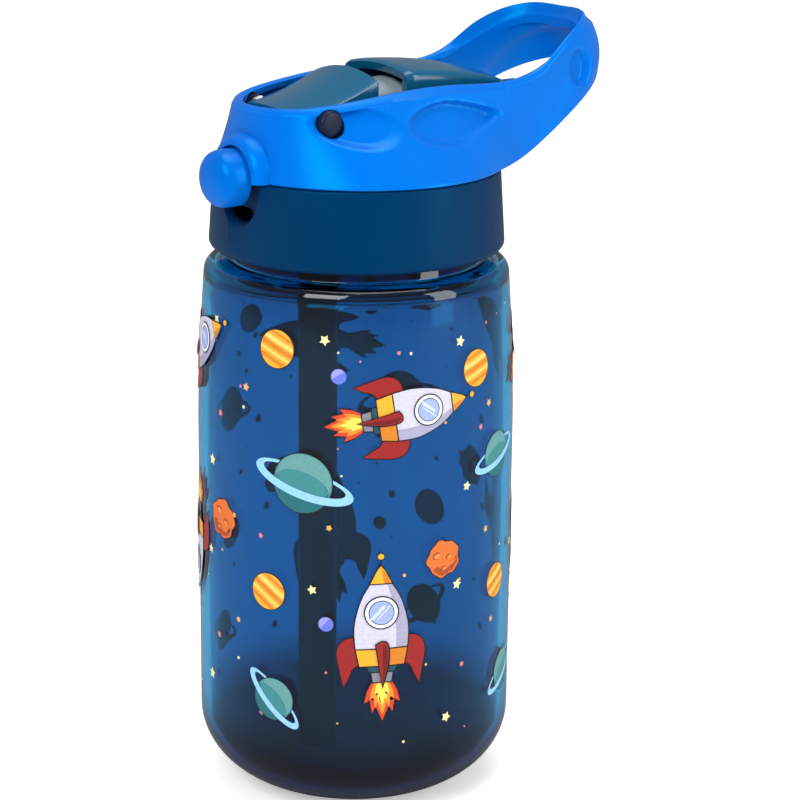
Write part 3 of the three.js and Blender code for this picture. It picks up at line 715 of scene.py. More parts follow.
def rocket():
    """A round-nosed toy rocket that points up, with a porthole, three fins and a flame."""
    m = Motif()
    flame = [(0, -21.2), (1.7, -17.2), (2.6, -19), (3.2, -15.6), (4.6, -16.4), (3.9, -13.4), (2.2, -10.2)]
    m.ink(both_sides(list(reversed(flame))), "line")
    m.ink(both_sides([(x * 0.9, -10.2 + (y + 10.2) * 0.93) for x, y in reversed(flame)]), "flame")
    m.ink(both_sides([(x * 0.62, -10.2 + (y + 10.2) * 0.8) for x, y in reversed(flame)]), "fire")
    m.ink(both_sides([(x * 0.36, -10.2 + (y + 10.2) * 0.6) for x, y in reversed(flame)]), "heart")
    fin = eased([(4.6, 0.4), (8.6, -0.6), (10.2, -3.4), (9.6, -8), (8.8, -11.8)]) + \
        eased([(7.6, -9.6), (6.6, -7.4), (4.4, -6)])
    for side in (-1, 1):
        m.drawn([(side * x, y) for x, y in fin], "fin")
    m.drawn([(-2.5, -8.2), (2.5, -8.2), (2.1, -10.8), (-2.1, -10.8)], "nozzle")
    m.drawn([(-3.5, -6.6), (3.5, -6.6), (3, -8.3), (-3, -8.3)], "collar")
    side_line = eased([(2.3, 13), (4.5, 9), (6, 3.4), (6, -1.6), (5.1, -6.8)])
    m.drawn(both_sides(side_line), "hull")
    m.ink(list(side_line) + [Vector((p.x * 0.55, p.y)) for p in reversed(side_line)], "hull_dark")
    m.ink(both_sides([p for p in side_line if p.y < -2.6] or side_line[-2:]), "gold")
    m.ink([(1.4, -2.8), (5.8, -2.8), (5.1, -6.8), (1.4, -6.8)], "gold_dark")
    m.ink([(-5.8, -2.6), (5.9, -2.6), (5.9, -2.9), (-5.8, -2.9)], "line")
    m.drawn(both_sides([(0, 17.2), (0.9, 16), (2.4, 13)]), "gold")
    m.ink([(0.1, 16.6), (0.9, 15.8), (2.3, 13), (0.7, 13)], "gold_dark")
    m.ink([(-0.15, 17.2), (0.15, 17.2), (0.15, 19), (-0.15, 19)], "line")
    m.drawn(disc(0.7, (0, 19.4), steps=16), "gold", 0.2)
    m.drawn(disc(3.7, (0, 6)), "rim")
    m.ink(disc(2.95, (0, 6)), "line")
    m.ink(disc(2.75, (0, 6)), "pane")
    for low, high in ((-1.1, -0.1), (0.5, 0.9)):
        m.ink([(-1.7 + low, 4.4), (-1.7 + high, 4.4), (1.3 + high, 7.6), (1.3 + low, 7.6)], "glint")
    m.drawn(eased([(-1.3, -1.8), (0, -1.1), (1.3, -1.8), (1.4, -6), (0, -12)]), "fin")
    m.ink([(0.2, -1.6), (1.2, -2), (1.3, -6), (0.1, -11.4)], "fin_dark")
    return m


def ringed_planet():
    """A planet with a tilted ring that passes behind it and in front of it."""
    m = Motif()
    m.ink(ring_band(-8, 188), "ring")
    m.drawn(disc(6.3), "teal", 0.22)
    m.ink(arc(0, 0, 6.2, 6.2, 20, 160, 20) + list(reversed(arc(0, -1, 6, 3.4, 10, 170, 20))), "teal_light")
    m.ink(arc(0, 0, 6.2, 6.2, 195, 345, 20) + arc(0, 0.6, 6, 3.6, -12, -168, 20), "teal_dark")
    m.ink(ring_band(172, 368), "ring")
    return m


def ring_band(start, end):
    """Part of the ring round a planet, thicker towards the front."""
    steps = 48
    return arc(0, 0, 11, 3.3, start, end, steps) + arc(0, 0.5, 9.2, 2.1, end, start, steps)


def striped_planet():
    """A sunny planet with slanting bands."""
    m = Motif()
    m.drawn(disc(4.3), "sun", 0.25)
    bands = ((-3.1, -2.2, "sun_dark"), (-1.5, -0.9, "sun_light"), (-0.3, 0.7, "sun_dark"),
             (1.2, 2.2, "sun_light"), (2.9, 3.4, "sun_dark"))
    for low, high, shade in bands:
        turn = [math.degrees(math.asin(y / 4.2)) for y in (low, high)]
        right = arc(0, 0, 4.2, 4.2, turn[0], turn[1], 5)
        left = arc(0, 0, 4.2, 4.2, 180 - turn[1], 180 - turn[0], 5)
        m.ink(right + left, shade)
    return m


def asteroid():
    """A lumpy rock with three craters."""
    m = Motif()
    outline = []
    for i in range(54):
        a = math.tau * i / 54
        r = 4.2 + 0.22 * math.sin(5 * a) + 0.16 * math.sin(9 * a + 1)
        outline.append((r * math.cos(a), r * math.sin(a)))
    m.drawn(outline, "rock", 0.25)
    shaded = outline[30:52]
    inner = [(0.66 * x + 0.5, 0.66 * y) for x, y in reversed(shaded)]
    m.ink([(0.9 * x, 0.9 * y) for x, y in shaded] + inner, "rock_dark")
    for x, y, r in ((-1.5, 1.5, 1.1), (1.3, -0.2, 0.8), (-0.9, -2, 0.6)):
        m.ink(disc(r, (x, y), 0.7, 18), "rock_dark")
        m.ink(disc(r * 0.8, (x + 0.15, y - 0.15), 0.62, 18), "rock_light")
    return m


def moon():
    """A small moon with a lit edge."""
    m = Motif()
    m.ink(disc(1.75, steps=24), "moon")
    m.ink(arc(0, 0, 1.65, 1.65, 40, 200, 12), "moon_light")
    return m


def star(shade, size):
    """A soft five-pointed star."""
    m = Motif()
    points = [(size * (1 if i % 2 == 0 else 0.52) * math.sin(math.pi * i / 5),
               size * (1 if i % 2 == 0 else 0.52) * math.cos(math.pi * i / 5)) for i in range(10)]
    m.ink(points, shade)
    return m


def dot(shade, size):
    """A far-off star."""
    m = Motif()
    m.ink(disc(size, steps=12), shade)
    return m


def wrapped(motif, turn, height, tilt, scale):
    """The picture laid round the vessel at an angle and a height, in degrees and millimetres."""
    bm = motif.bm
    bmesh.ops.rotate(bm, cent=(0, 0, 0), matrix=Matrix.Rotation(math.radians(tilt), 3, "Z"), verts=bm.verts)
    bmesh.ops.scale(bm, vec=(scale, scale, 1), verts=bm.verts)
    reach = max(abs(c) for v in bm.verts for c in v.co.xy)
    for k in range(-int(reach / CELL), int(reach / CELL) + 1):
        for normal in ((1, 0, 0), (0, 1, 0)):
            bmesh.ops.bisect_plane(bm, geom=bm.verts[:] + bm.edges[:] + bm.faces[:], dist=1e-6,
                                   plane_co=Vector(normal) * k * CELL, plane_no=normal)
    lift = sizes().print_lift / MM
    for vert in bm.verts:
        z = height + vert.co.y
        angle = math.radians(turn) + vert.co.x / BOTTLE_HIGH.x
        radius = wall_radius(z) + lift + vert.co.z
        vert.co = (radius * math.cos(angle), radius * math.sin(angle), z)
    bmesh.ops.triangulate(bm, faces=[f for f in bm.faces if len(f.verts) > 4])
    return bm


# Each half of the vessel carries these, as (turn in degrees from the side face, height, tilt, scale).
ROCKETS = ((10.6, 47, 1, 1), (18.6, 99, -82, 0.91), (-77, 108, -62, 0.9), (-80, 60, 172, 0.9))
RINGED = ((-17.6, 83, -16, 1.1), (-29, 30, -45, 0.8), (62, 85, 14, 0.84), (71, 30, 26, 0.78))
STRIPED = ((-28, 113, -24, 1), (49, 107, 16, 0.98), (-31, 56, -34, 1), (63, 54, 24, 0.95))
ROCKS = ((34, 64, 20, 1.02), (-54, 70, -10, 1.08))
MOONS = ((-5, 108, 0, 1), (-9, 50, 20, 1))
STARS = (
    ("star", 1.35, ((-60, 116), (-10, 116), (41, 114), (44, 80), (-61, 83), (-63, 61), (-14, 58), (40, 57),
                    (36, 25), (-63, 30), (85, 118), (80, 60))),
    ("star_gold", 0.95, ((-41, 103), (56, 98), (-8, 73), (-47, 72), (-45, 47), (55, 68), (60, 45),
                         (84, 100))),
    ("star_rose", 0.9, ((-55, 95), (51, 93), (-34, 69), (-57, 41), (43, 37), (-34, 26), (88, 40))),
)
DOTS_PER_HALF = 34


class BOTTLE_OT_print(bpy.types.Operator):
    """Print rockets, planets and stars round the vessel"""

    bl_idname = "bottle.print"
    bl_label = "Printed pattern"

    def execute(self, context):
        facing = math.degrees(context.scene.bottle_stage.azimuth) - 90
        groups = (
            ("print_rockets", [(rocket, p) for p in ROCKETS]),
            ("print_ringed_planets", [(ringed_planet, p) for p in RINGED]),
            ("print_striped_planets", [(striped_planet, p) for p in STRIPED]),
            ("print_rocks", [(asteroid, p) for p in ROCKS]),
            ("print_moons", [(moon, p) for p in MOONS]),
        )
        for name, items in groups:
            self.lay(name, [(make(), turn, z, tilt, scale, half) for make, (turn, z, tilt, scale) in items
                            for half in (0, 180)], facing)
        chance = random.Random(11)
        stars = [(star(shade, size * chance.uniform(0.85, 1.1)), turn, z, chance.uniform(0, 72), 1, half)
                 for shade, size, places in STARS for turn, z in places for half in (0, 180)]
        stars += [(dot(chance.choice(("star", "star_gold", "star_rose")), chance.uniform(0.22, 0.42)),
                   chance.uniform(-90, 90), chance.uniform(18, 121), 0, 1, half)
                  for _ in range(DOTS_PER_HALF) for half in (0, 180)]
        self.lay("print_stars", stars, facing)
        return {"FINISHED"}

    def lay(self, name, items, facing):
        """Lays a group of motifs round the vessel as one piece."""
        parts = [wrapped(motif, facing + turn + half, z, tilt, scale)
                 for motif, turn, z, tilt, scale, half in items]
        piece(name, joined(*parts), print_ink(), "vessel", sharp=180)


# ---------------------------------------------------------------- screw cap


def cap_form():
    """The screw cap with its skirt, its thread and the scoop under the button."""
    low, high, top_radius = CAP_LOW.z, CAP_HIGH.z, CAP_HIGH.x - CAP_DRAFT
    edge, deck = 1.6, 2.1
    under = high - deck
    bore = sizes().neck / MM + 2.1        # inside the skirt, clear of the neck's thread
    land = sizes().neck / MM + 0.5        # where the cap is centred on the neck
    profile = ([(0, high)] + arc(top_radius - 0.7, high - 0.7, 0.7, 0.7, 90, 0, 6)
               + arc(CAP_HIGH.x - edge, low + edge, edge, edge, 0, -90, 10)
               + [(bore + 0.4, low), (bore, low + 0.4), (bore, under - 5), (land, under - 3.4), (land, under),
                  (0, under)])
    body = joined(spun(profile, 144), thread_form(bore, CAP_THREAD_LOW))
    return combined(body, scoop_form(), "DIFFERENCE")


SCOOP_DROP = 9.4          # how far the scoop reaches below the cap's top


def scoop_form():
    """The cutter for the scoop: straight behind the button, opening out to the front."""
    half = BUTTON_OPENING
    lowest = CAP_HIGH.z - SCOOP_DROP
    rings = []
    for y, grow in ((-30.6, 0), (-31.6, 0), (-32.6, 0.35), (-33.4, 1.2), (-34.2, 2.6), (-36, 5)):
        r = half + grow * 0.55
        rings.append([(r, y, CAP_HIGH.z + 3), (-r, y, CAP_HIGH.z + 3)]
                     + [(x, y, z) for x, z in arc(0, lowest + half, r, half + grow, 180, 360, 24)])
    return skin(rings)


class BOTTLE_OT_cap(bpy.types.Operator):
    """Make the screw cap"""

    bl_idname = "bottle.cap"
    bl_label = "Screw cap"

    def execute(self, context):
        piece("cap_shell", cap_form(), cap_plastic(), "lid", ["screw_cap"], sharp=32)
        return {"FINISHED"}


# ---------------------------------------------------------------- handle shroud


# Right half of the upper rim and of the foot behind the cap, front to rear.
RIM = (
    (0, -31, 164.6), (10, -28.4, 164.8), (16.2, -21.4, 165.5), (18.4, -11, 166.6), (19.4, 2, 167.8),
    (20.2, 14, 168), (20.4, 26, 167.2), (19.6, 36, 168.3), (18.6, 44.5, 171.9), (16.6, 52, 176.1),
    (12.6, 58.2, 178.3), (7.4, 61.4, 179), (0, 62.6, 178.6),
)
FOOT_ANGLES = (0, 27, 52, 74, 93, 112, 128)
TAIL = (
    (21.4, 31.5, 0.8), (20, 41, 5.4), (18.6, 49.5, 10.2), (15.6, 58, 14.8), (8.8, 65.2, 18), (0, 67.4, 19),
)
FOOT_FLARE = 0.5
SHROUD_STATIONS = 400
SMOOTH_PASSES = 90


def smooth_loop(half):
    """Stations on the smooth closed line through the points of its right half."""
    points = [Vector(p) for p in half] + [Vector((-x, y, z)) for x, y, z in reversed(half[1:-1])]
    line = [curve_point(points, i / SHROUD_STATIONS) for i in range(SHROUD_STATIONS)]
    for _ in range(SMOOTH_PASSES):
        after = line[1:] + line[:1]
        line = [(line[i - 1] + 2 * line[i] + after[i]) / 4 for i in range(SHROUD_STATIONS)]
    return line


def shroud_loops():
    """The closed lines of the shroud's rim and of its foot."""
    radius = CAP_HIGH.x - CAP_DRAFT + FOOT_FLARE
    base = SHROUD_LOW.z
    turns = [math.radians(a) for a in FOOT_ANGLES]
    foot = [(radius * math.sin(a), -radius * math.cos(a), base) for a in turns]
    foot += [(x, y, base + rise) for x, y, rise in TAIL]
    return smooth_loop(RIM), smooth_loop(foot)


def inward(line, i):
    """Level direction towards the inside of a closed line, at one of its stations."""
    along = line[(i + 1) % len(line)] - line[i - 1]
    return Vector((-along.y, along.x, 0)).normalized()


def hollow(point):
    """Depth of the moulded hollows at a point of the shroud's side, as a share of the full depth."""
    y, z = point.y - PIVOT[0], point.z - PIVOT[1]
    # A dish that runs back from each pin and shallows out
    run = smoothstep(y, -3, 12)
    dish = math.hypot((y - 4.2) / (8.8 + run), (z + 0.4 + 0.8 * run) / (4.3 + 0.4 * run))
    pin_dish = (1 - smoothstep(dish, 0.74, 1.04)) * (1 - 0.5 * smoothstep(y, 3, 13))
    # A longer hollow behind it, blunt in front and drawn to a point behind
    y2, z2 = point.y - 10.5, point.z - 160.6
    tall = 4.9 - 2.6 * smoothstep(y2, -4, 15)
    long_hollow = 1 - smoothstep(math.hypot(y2 / 14.5, (z2 - 0.03 * y2) / tall), 0.74, 1.03)
    # A thumb hollow on each side of the loop
    y3, z3 = point.y - 52.3, point.z - 168.4
    thumb = 0.8 * (1 - smoothstep(math.hypot(y3 / 4, z3 / 4.8), 0.6, 1.03))
    return max(pin_dish, 0.95 * long_hollow, thumb)


def shroud_ring(rim_loop, foot_loop, i):
    """The wall's section at one station: the outside from foot to rim, over the rim and down inside."""
    rim, foot = rim_loop[i], foot_loop[i]
    across = (inward(rim_loop, i) + inward(foot_loop, i)).normalized()
    wall = sizes().shroud_wall / MM
    rise = foot.z - SHROUD_LOW.z
    tilt = 1.7 * smoothstep(rise, 1, 8)
    lift = 3.4 * smoothstep(rise, 2, 10) + 2.8 * smoothstep(rise, 9, 17)
    waist = 0.5 - 2.5 * smoothstep(rise, 6, 17)

    def place(share, depth, up=0.0):
        return foot.lerp(rim, share) + across * depth + Vector((0, 0, up))

    steps = 40
    outer = []
    for k in range(steps + 1):
        share = 0.02 + 0.9 * k / steps
        point = place(share, waist * math.sin(math.pi * min(share * 0.8 + 0.02, 1)))
        outer.append(point + across * hollow(point) * sizes().dish_depth / MM)
    over = [place(0.97, 0.12, tilt - 0.9), place(1, 0.5, tilt - 0.35), place(1, 1.1, tilt),
            place(1, (wall + 0.2) / 2, 0.15), place(1, wall - 1, -tilt), place(1, wall - 0.4, -tilt - 0.35),
            place(0.96, wall - 0.05, -tilt - 0.9)]
    inner = [place(0.9 - 0.84 * k / 12, wall + 0.2 * math.sin(math.pi * k / 12), lift * (k / 12) ** 1.5)
             for k in range(13)]
    under = [place(0, wall - 0.35, lift), place(0, wall / 2, lift / 2), place(0, 0.35)]
    return outer + over + inner + under


# The shroud is cut with the FAST solver, because the EXACT one drops its wall.
def shroud_form():
    """The moulded shroud: a ring round the lid's top that runs on into the carrying loop."""
    rim_loop, foot_loop = shroud_loops()
    stations = [shroud_ring(rim_loop, foot_loop, i) for i in range(SHROUD_STATIONS)]
    body = skin(stations, wrap=True)
    body = combined(body, bridge_form(), "UNION", "FAST")
    hole, across = PIN_HEAD + 0.15, 30
    pins = spun([(0, -across), (hole, -across), (hole, across), (0, across)], 48, (0, *PIVOT), (1, 0, 0))
    body = combined(body, pins, "DIFFERENCE", "FAST")
    reach = BUTTON_OPENING
    well = spun([(0, 15), (reach, 15), (reach, 33), (reach + 1.4, 40), (0, 40)], 64,
                (0, 0, BUTTON_MIDDLE), (0, -1, 0))
    return joined(combined(body, well, "DIFFERENCE", "FAST"), collar_form())


def collar_form():
    """The raised lip of the shroud round the upper half of the button, a closed form of its own."""
    reach = BUTTON_OPENING
    ring = spun([(reach, 30.6), (reach + 2.6, 30.6), (reach + 2.4, 32.6), (reach + 1.6, 33.9),
                 (reach + 0.9, 34.4), (reach + 0.2, 34.5), (reach, 34.3)], 64,
                (0, 0, BUTTON_MIDDLE), (0, -1, 0))
    lower = block((-12, -36, SHROUD_LOW.z - 12), (12, -29, SHROUD_LOW.z), 0.01)
    return combined(ring, lower, "DIFFERENCE")


def bridge_form():
    """The floor and web that close the shroud behind the shield."""
    half, y0, y1, z0 = 18.2, 30.4, 45.6, SHROUD_LOW.z + 1.4
    outline = [(y0, z0), (y1 - 1, z0 + 5.9), (y1, z0 + 6.6), (y1, z0 + 6.8), (y1 - 0.8, z0 + 7.4),
               (y1 - 2.2, z0 + 7.4), (y1 - 2.8, z0 + 6.9), (y0, z0 + 1.4)]
    rings = [[(x, y, z) for y, z in outline] for x in (-half, 0, half)]
    return skin(rings)


class BOTTLE_OT_shroud(bpy.types.Operator):
    """Make the handle shroud with its carrying loop"""

    bl_idname = "bottle.shroud"
    bl_label = "Handle shroud"

    def execute(self, context):
        piece("shroud_loop", shroud_form(), shroud_plastic(), "lid", ["handle_shroud"], sharp=50)
        return {"FINISHED"}


# ---------------------------------------------------------------- button and latch


def button_form():
    """The domed button with its stem."""
    radius = BUTTON_HIGH.x
    rim, apex, back = 34.8, -BUTTON_LOW.y, 33.4
    dome = [(radius * math.sin(a), rim + (apex - rim) * max(math.cos(a), 0) ** 0.45)
            for a in (math.pi / 2 * i / 16 for i in range(16, 0, -1))]
    profile = [(0, back), (radius - 0.5, back), (radius, back + 0.5)] + dome + [(0, apex)]
    cap_part = spun(profile, 72, (0, 0, BUTTON_MIDDLE), (0, -1, 0))
    stem_low, stem_high = 151.1, 154.3
    stem = block((-3, -back - 0.6, stem_low), (3, BUTTON_HIGH.y, stem_high), 0.3)
    return joined(cap_part, stem)


class BOTTLE_OT_button(bpy.types.Operator):
    """Make the push button and the latch slide behind it"""

    bl_idname = "bottle.button"
    bl_label = "Button and latch"

    def execute(self, context):
        piece("button_dome", button_form(), button_plastic(), "button", ["push_button"])
        slide = merged_copy("latch_slide", 0.25)
        piece("latch_bar", slide, core_plastic(), "button", ["latch_slide"])
        return {"FINISHED"}


# ---------------------------------------------------------------- flip spout


def spout_plan(v):
    """Half width and place along the lid of the flip spout, v from -1 at its nose to 1 at its rear."""
    half, nose, shoulder = SPOUT_HIGH.x, SPOUT_LOW.y, SPOUT_LOW.y + 8.1
    share = (v + 1) / 2
    y = nose + 0.06 + (SPOUT_HIGH.y - nose - 0.06) * share ** 1.35
    if y >= shoulder:
        return half, y
    return half * max(1 - ((shoulder - y) / (shoulder - nose)) ** 2.2, 0) ** (1 / 2.2), y


SPOUT_NOSE_TOP = 164.9
SPOUT_FLOOR = 158.2


def spout_top(y):
    """Height of the spout cover's crest: low at the nose, sweeping up to a lip at the rear."""
    share = (y - SPOUT_LOW.y) / (SPOUT_HIGH.y - SPOUT_LOW.y)
    return SPOUT_NOSE_TOP + (SPOUT_HIGH.z - SPOUT_NOSE_TOP) * (0.42 * share + 0.58 * share ** 2.2)


def spout_bottom(y):
    """Height of the spout's underside, raised under the nose to swing clear of the button's spring."""
    nose = 4.6 * (1 - smoothstep(y, SPOUT_LOW.y, SPOUT_LOW.y + 7))
    return SPOUT_FLOOR + nose + 1.6 * smoothstep(y, -9, -3)


def spout_form():
    """The flip spout's cover, hollowed along its length like a saddle."""
    def place(u, v):
        half, y = spout_plan(v)
        x = u * half
        return Vector((x, y, spout_top(y) - x * x / 64))

    bm = sheet(28, 36, place)
    made = bmesh.ops.extrude_face_region(bm, geom=bm.faces[:])["geom"]
    for vert in (v for v in made if isinstance(v, bmesh.types.BMVert)):
        vert.co.z = spout_bottom(vert.co.y)
    bmesh.ops.recalc_face_normals(bm, faces=bm.faces)
    bevel(bm, 1.0, 4, 50)
    port = spun([(0, -4), (2.4, -4), (2.4, 4), (0, 4)], 32, (0, -11, 157), (0, 0, 1))
    return combined(bm, port, "DIFFERENCE")


def mouth_form():
    """The soft mouthpiece: an oval tube with a rolled lip."""
    half, tall = MOUTH_HIGH.x - 0.6, (MOUTH_HIGH.z - MOUTH_LOW.z) / 2 - 0.6
    middle = (MOUTH_LOW.z + MOUTH_HIGH.z) / 2
    start, end = MOUTH_LOW.y, MOUTH_HIGH.y
    steps = ((start, 0), (end - 4, 0), (end - 3, 0.15), (end - 2.4, 0.45), (end - 1.4, 0.6),
             (end - 0.6, 0.4), (end - 0.15, -0.1), (end, -0.8))

    def oval(rx, rz, y):
        return [(x, y, z) for x, z in arc(0, middle, rx, rz, 0, 352.5, 47)]

    rings = [oval(half + grow, tall + grow, y) for y, grow in steps]
    bore = [oval(3.6, 1.6, y) for y in (end - 5, end + 1)]
    return combined(skin(rings), skin(bore), "DIFFERENCE")


class BOTTLE_OT_spout(bpy.types.Operator):
    """Make the flip spout and its mouthpiece"""

    bl_idname = "bottle.spout"
    bl_label = "Flip spout"

    def execute(self, context):
        piece("spout_cover", spout_form(), flip_plastic(), "spout", ["spout_body"])
        piece("mouth_nozzle", mouth_form(), silicone(), "spout", ["mouthpiece"])
        return {"FINISHED"}


# ---------------------------------------------------------------- shield


def shield_form():
    """The shield that covers the mouthpiece: a crowned shell with turned-down sides."""
    front, rear, half, top = SHIELD_LOW.y, SHIELD_HIGH.y, SHIELD_HIGH.x, SHIELD_HIGH.z
    crest = eased([(front, top - 0.5), (front + 2.5, top), (front + 13, top - 0.9), (front + 22, top - 2.6),
                   (rear - 6, top - 4.6), (rear - 2.6, top - 7), (rear - 0.6, top - 10.5)], 6)
    skin_thick, corner, side = 1.9, 1.7, 5.4

    def place(u, v):
        spot = (v + 1) / 2 * (len(crest) - 1)
        i = min(int(spot), len(crest) - 2)
        y, z = crest[i].lerp(crest[i + 1], spot - i)
        wide = half - 2.2 * smoothstep(y, front + 10, rear - 3) - 0.5 * (1 - smoothstep(y, front, front + 2))
        depth = side - 2.4 * smoothstep(y, front + 18, rear)
        flat = wide - corner
        run = abs(u) * (flat + corner * math.pi / 2 + depth - corner)
        if run < flat:
            x, drop = run, 0.0
        elif run < flat + corner * math.pi / 2:
            a = (run - flat) / corner
            x, drop = flat + corner * math.sin(a), corner * (1 - math.cos(a))
        else:
            x, drop = wide, run - flat - corner * math.pi / 2 + corner
        return Vector((math.copysign(x, u), y, z - min(x, flat) ** 2 / 92 - drop))

    bm = sheet(64, 44, place)
    bmesh.ops.recalc_face_normals(bm, faces=bm.faces)
    if sum(f.normal.z for f in bm.faces) < 0:
        bmesh.ops.reverse_faces(bm, faces=bm.faces)
    bmesh.ops.solidify(bm, geom=bm.faces[:], thickness=skin_thick)
    bmesh.ops.recalc_face_normals(bm, faces=bm.faces)
    return bevel(bm, 0.5, 3, 60)


def knuckle_form():
    """The two arms of the shield round its pin."""
    arms = []
    for side in (-1, 1):
        span = sorted((side * 8, side * 10))
        arms.append(spun([(1.45, span[0]), (3.4, span[0]), (3.6, span[0] + 0.2), (3.6, span[1] - 0.2),
                          (3.4, span[1]), (1.45, span[1])], 40, (0, *HINGE), (1, 0, 0)))
        arms.append(block((span[0], 34, 160.5), (span[1], 39.6, 166), 0.4))
    return joined(*arms)


class BOTTLE_OT_shield(bpy.types.Operator):
    """Make the shield over the mouthpiece"""

    bl_idname = "bottle.shield"
    bl_label = "Mouthpiece shield"

    def execute(self, context):
        form = joined(shield_form(), knuckle_form())
        piece("shield_cover", form, flip_plastic(), "shield", ["spout_shield"])
        return {"FINISHED"}


# ---------------------------------------------------------------- inner parts


def pin_form(side):
    """A spout pin with a rounded head."""
    inner, outer, head = PIN_LOW.x, PIN_HIGH.x, PIN_HEAD
    neck = outer - 2.6
    shank = PIN_SHANK
    profile = ([(0, inner), (shank - 0.3, inner), (shank, inner + 0.3), (shank, neck),
                (head - 0.2, neck), (head, neck + 0.2)]
               + arc(head - 0.7, outer - 0.7, 0.7, 0.7, 0, 80, 5)
               + [(head * 0.5, outer + 0.05), (0, outer + 0.05)])
    return spun(profile, 48, (0, *PIVOT), (side, 0, 0))


def straw_form():
    """The drinking straw, with softened ends."""
    radius, middle = STRAW_HIGH.x, (STRAW_LOW.y + STRAW_HIGH.y) / 2
    low, high, ease = STRAW_LOW.z, STRAW_HIGH.z, 0.35
    bore = radius - STRAW_WALL
    profile = [(bore, low + ease), (bore + ease, low), (radius - ease, low), (radius, low + ease),
               (radius, high - ease), (radius - ease, high), (bore + ease, high), (bore, high - ease)]
    return spun(profile, 56, (0, middle, 0))


class BOTTLE_OT_inner(bpy.types.Operator):
    """Make the flip frame, pins, straw, seals and valve, and finish the springs"""

    bl_idname = "bottle.inner"
    bl_label = "Inner parts"

    def execute(self, context):
        core = core_plastic()
        piece("pin_cap_right", pin_form(1), core, "lid", ["hinge_pin_right"])
        piece("pin_cap_left", pin_form(-1), core, "lid", ["hinge_pin_left"])
        piece("straw_tube", straw_form(), core, "lid", ["straw"])
        piece("frame_base", merged_copy("flip_frame", 0.3), core, "lid", ["flip_frame"])
        piece("connector_body", merged_copy("straw_connector", 0.2), core, "lid", ["straw_connector"])
        piece("valve_head", merged_copy("vent_valve", 0.12), silicone(), "lid", ["vent_valve"])
        piece("seal_dome", merged_copy("spout_seal", 0.15), silicone(), "lid", ["spout_seal"])
        piece("neck_ring", merged_copy("neck_seal", 0.3), silicone(), "seal_ring", ["neck_seal"])
        piece("shield_rod", merged_copy("shield_pin", 0.15), core, "lid", ["shield_pin"])
        for name in ("button_spring", "spout_spring"):
            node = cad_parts[name]
            node.data.materials.clear()
            node.data.materials.append(wire_steel())
        return {"FINISHED"}


# ---------------------------------------------------------------- stage


def area_light(name, place, aim, width, height, power):
    """A rectangular lamp that faces a point."""
    data = bpy.data.lights.new(name, "AREA")
    data.shape = "RECTANGLE"
    data.size, data.size_y = width, height
    data.energy = power
    lamp = bpy.data.objects.new(name, data)
    lamp.location = place
    lamp.rotation_euler = (Vector(aim) - Vector(place)).to_track_quat("-Z", "Y").to_euler()
    bpy.context.scene.collection.objects.link(lamp)


def mirrored(tree):
    """1 for what is seen mirrored in a surface, 0 for what is seen directly or through clear plastic."""
    path = put(tree, "ShaderNodeLightPath")
    rays = {0: path.outputs["Is Glossy Ray"], 1: path.outputs["Is Transmission Ray"]}
    return put(tree, "ShaderNodeMath", rays, operation="SUBTRACT", use_clamp=True).outputs[0]


def floor_material():
    """A pale matt floor that glows a little, and looks dimmer when it is mirrored."""
    material = bpy.data.materials.new("pale_floor")
    material.use_nodes = True
    tree = material.node_tree
    shader = tree.nodes["Principled BSDF"]
    place = put(tree, "ShaderNodeTexCoord").outputs["Object"]
    cloud = put(tree, "ShaderNodeTexNoise", {"Vector": place, "Scale": 6.0, "Detail": 3.0})
    tree.links.new(two_tone(tree, cloud.outputs["Fac"], (0.93, 0.93, 0.93), (0.96, 0.96, 0.96)),
                   shader.inputs["Base Color"])
    shader.inputs["Roughness"].default_value = 0.8
    shader.inputs["Specular IOR Level"].default_value = 0.1
    shader.inputs["Emission Color"].default_value = (1, 1, 1, 1)
    shader.inputs["Emission Strength"].default_value = 0.4
    dim = put(tree, "ShaderNodeBsdfDiffuse", {"Color": (0.3, 0.3, 0.3, 1)})
    mix = put(tree, "ShaderNodeMixShader", {0: mirrored(tree), 1: shader.outputs[0], 2: dim.outputs[0]})
    tree.links.new(mix.outputs[0], tree.nodes["Material Output"].inputs["Surface"])
    return material


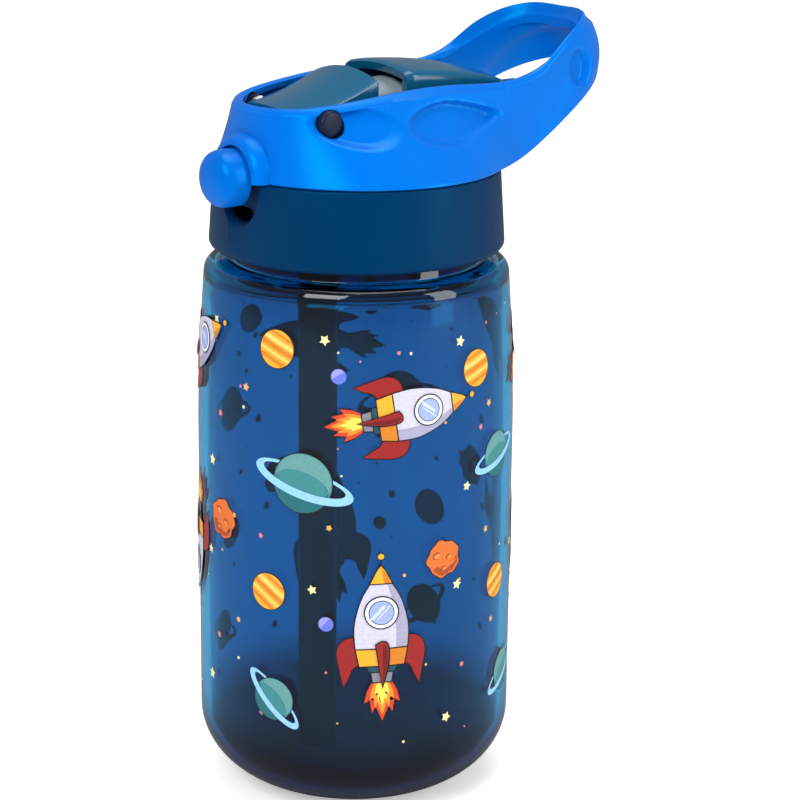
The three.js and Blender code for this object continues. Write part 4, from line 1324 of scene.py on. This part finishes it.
class BOTTLE_OT_stage(bpy.types.Operator):
    """Set the pale floor, the soft lights and the camera"""

    bl_idname = "bottle.stage"
    bl_label = "Stage"

    def execute(self, context):
        stage = context.scene.bottle_stage
        floor = bmesh.new()
        bmesh.ops.create_circle(floor, cap_ends=True, radius=6, segments=96)
        mesh = bpy.data.meshes.new("floor")
        floor.to_mesh(mesh)
        floor.free()
        mesh.materials.append(floor_material())
        ground = bpy.data.objects.new("floor", mesh)
        context.scene.collection.objects.link(ground)
        self.camera(context, stage)
        self.lights(context, stage)
        return {"FINISHED"}

    def camera(self, context, stage):
        """Sets the camera round the bottle."""
        turn = Matrix.Rotation(stage.azimuth, 3, "Z")
        back = Vector((0, -math.cos(stage.pitch), math.sin(stage.pitch)))
        up = Vector((0, math.sin(stage.pitch), math.cos(stage.pitch)))
        right = Vector((1, 0, 0))
        level = math.cos(stage.roll) * right + math.sin(stage.roll) * up
        upright = math.cos(stage.roll) * up - math.sin(stage.roll) * right
        place = turn @ (Vector((stage.aim_side, 0, stage.aim_height)) + back * stage.distance)
        axes = Matrix((turn @ level, turn @ upright, turn @ back)).transposed()
        camera = bpy.data.objects.new("camera", bpy.data.cameras.new("camera"))
        camera.data.lens = stage.lens
        camera.data.sensor_width = 36
        camera.matrix_world = Matrix.Translation(place) @ axes.to_4x4()
        context.scene.collection.objects.link(camera)
        context.scene.camera = camera

    def lights(self, context, stage):
        """Sets the white surroundings and three soft lamps."""
        world = bpy.data.worlds.new("surroundings")
        world.use_nodes = True
        tree = world.node_tree
        tree.nodes["Background"].inputs["Color"].default_value = (1, 1, 1, 1)
        path = put(tree, "ShaderNodeLightPath")
        soft = put(tree, "ShaderNodeMath", {0: mirrored(tree), 1: -0.6 * stage.sky, 2: stage.sky},
                   operation="MULTIPLY_ADD")
        seen = put(tree, "ShaderNodeMath", {0: path.outputs["Is Camera Ray"], 1: soft.outputs[0]},
                   operation="MAXIMUM")
        tree.links.new(seen.outputs[0], tree.nodes["Background"].inputs["Strength"])
        context.scene.world = world
        turn = Matrix.Rotation(stage.azimuth, 3, "Z")
        middle = (0, 0, 0.12)
        area_light("key", turn @ Vector((-0.35, -0.75, 0.75)), middle, 0.5, 0.5, 6)
        area_light("side", turn @ Vector((0.9, -0.35, 0.4)), middle, 0.35, 0.8, 4)
        area_light("top", (0, 0.1, 1.1), middle, 0.7, 0.7, 5)
        context.scene.view_settings.view_transform = "Standard"


# ---------------------------------------------------------------- add-on


STEPS = (
    BOTTLE_OT_vessel, BOTTLE_OT_print, BOTTLE_OT_cap, BOTTLE_OT_shroud, BOTTLE_OT_button, BOTTLE_OT_spout,
    BOTTLE_OT_shield, BOTTLE_OT_inner, BOTTLE_OT_stage,
)


class BOTTLE_PT_panel(bpy.types.Panel):
    """Buttons for each group of pieces, and their sizes and colours"""

    bl_idname = "BOTTLE_PT_panel"
    bl_label = "Kids water bottle"
    bl_space_type = "VIEW_3D"
    bl_region_type = "UI"
    bl_category = "Bottle"

    def draw(self, context):
        scene = context.scene
        for settings in (scene.bottle_sizes, scene.bottle_colours, scene.bottle_stage):
            box = self.layout.box()
            for label in settings.__annotations__:
                box.prop(settings, label)
        for step in STEPS:
            self.layout.operator(step.bl_idname)


GROUPS = (("bottle_sizes", BottleSizes), ("bottle_colours", BottleColours), ("bottle_stage", StageSettings))


def register():
    """Adds the bottle's settings, operators and panel."""
    for _, group in GROUPS:
        bpy.utils.register_class(group)
    for label, group in GROUPS:
        setattr(bpy.types.Scene, label, bpy.props.PointerProperty(type=group))
    for step in (*STEPS, BOTTLE_PT_panel):
        bpy.utils.register_class(step)


def unregister():
    """Takes the bottle's settings, operators and panel away."""
    for step in reversed((*STEPS, BOTTLE_PT_panel)):
        bpy.utils.unregister_class(step)
    for label, group in reversed(GROUPS):
        delattr(bpy.types.Scene, label)
        bpy.utils.unregister_class(group)


def main():
    """Builds the bottle."""
    register()
    bpy.ops.bottle.vessel()
    bpy.ops.bottle.print()
    bpy.ops.bottle.cap()
    bpy.ops.bottle.shroud()
    bpy.ops.bottle.button()
    bpy.ops.bottle.spout()
    bpy.ops.bottle.shield()
    bpy.ops.bottle.inner()
    bpy.ops.bottle.stage()


if __name__ == "__main__":
    main()
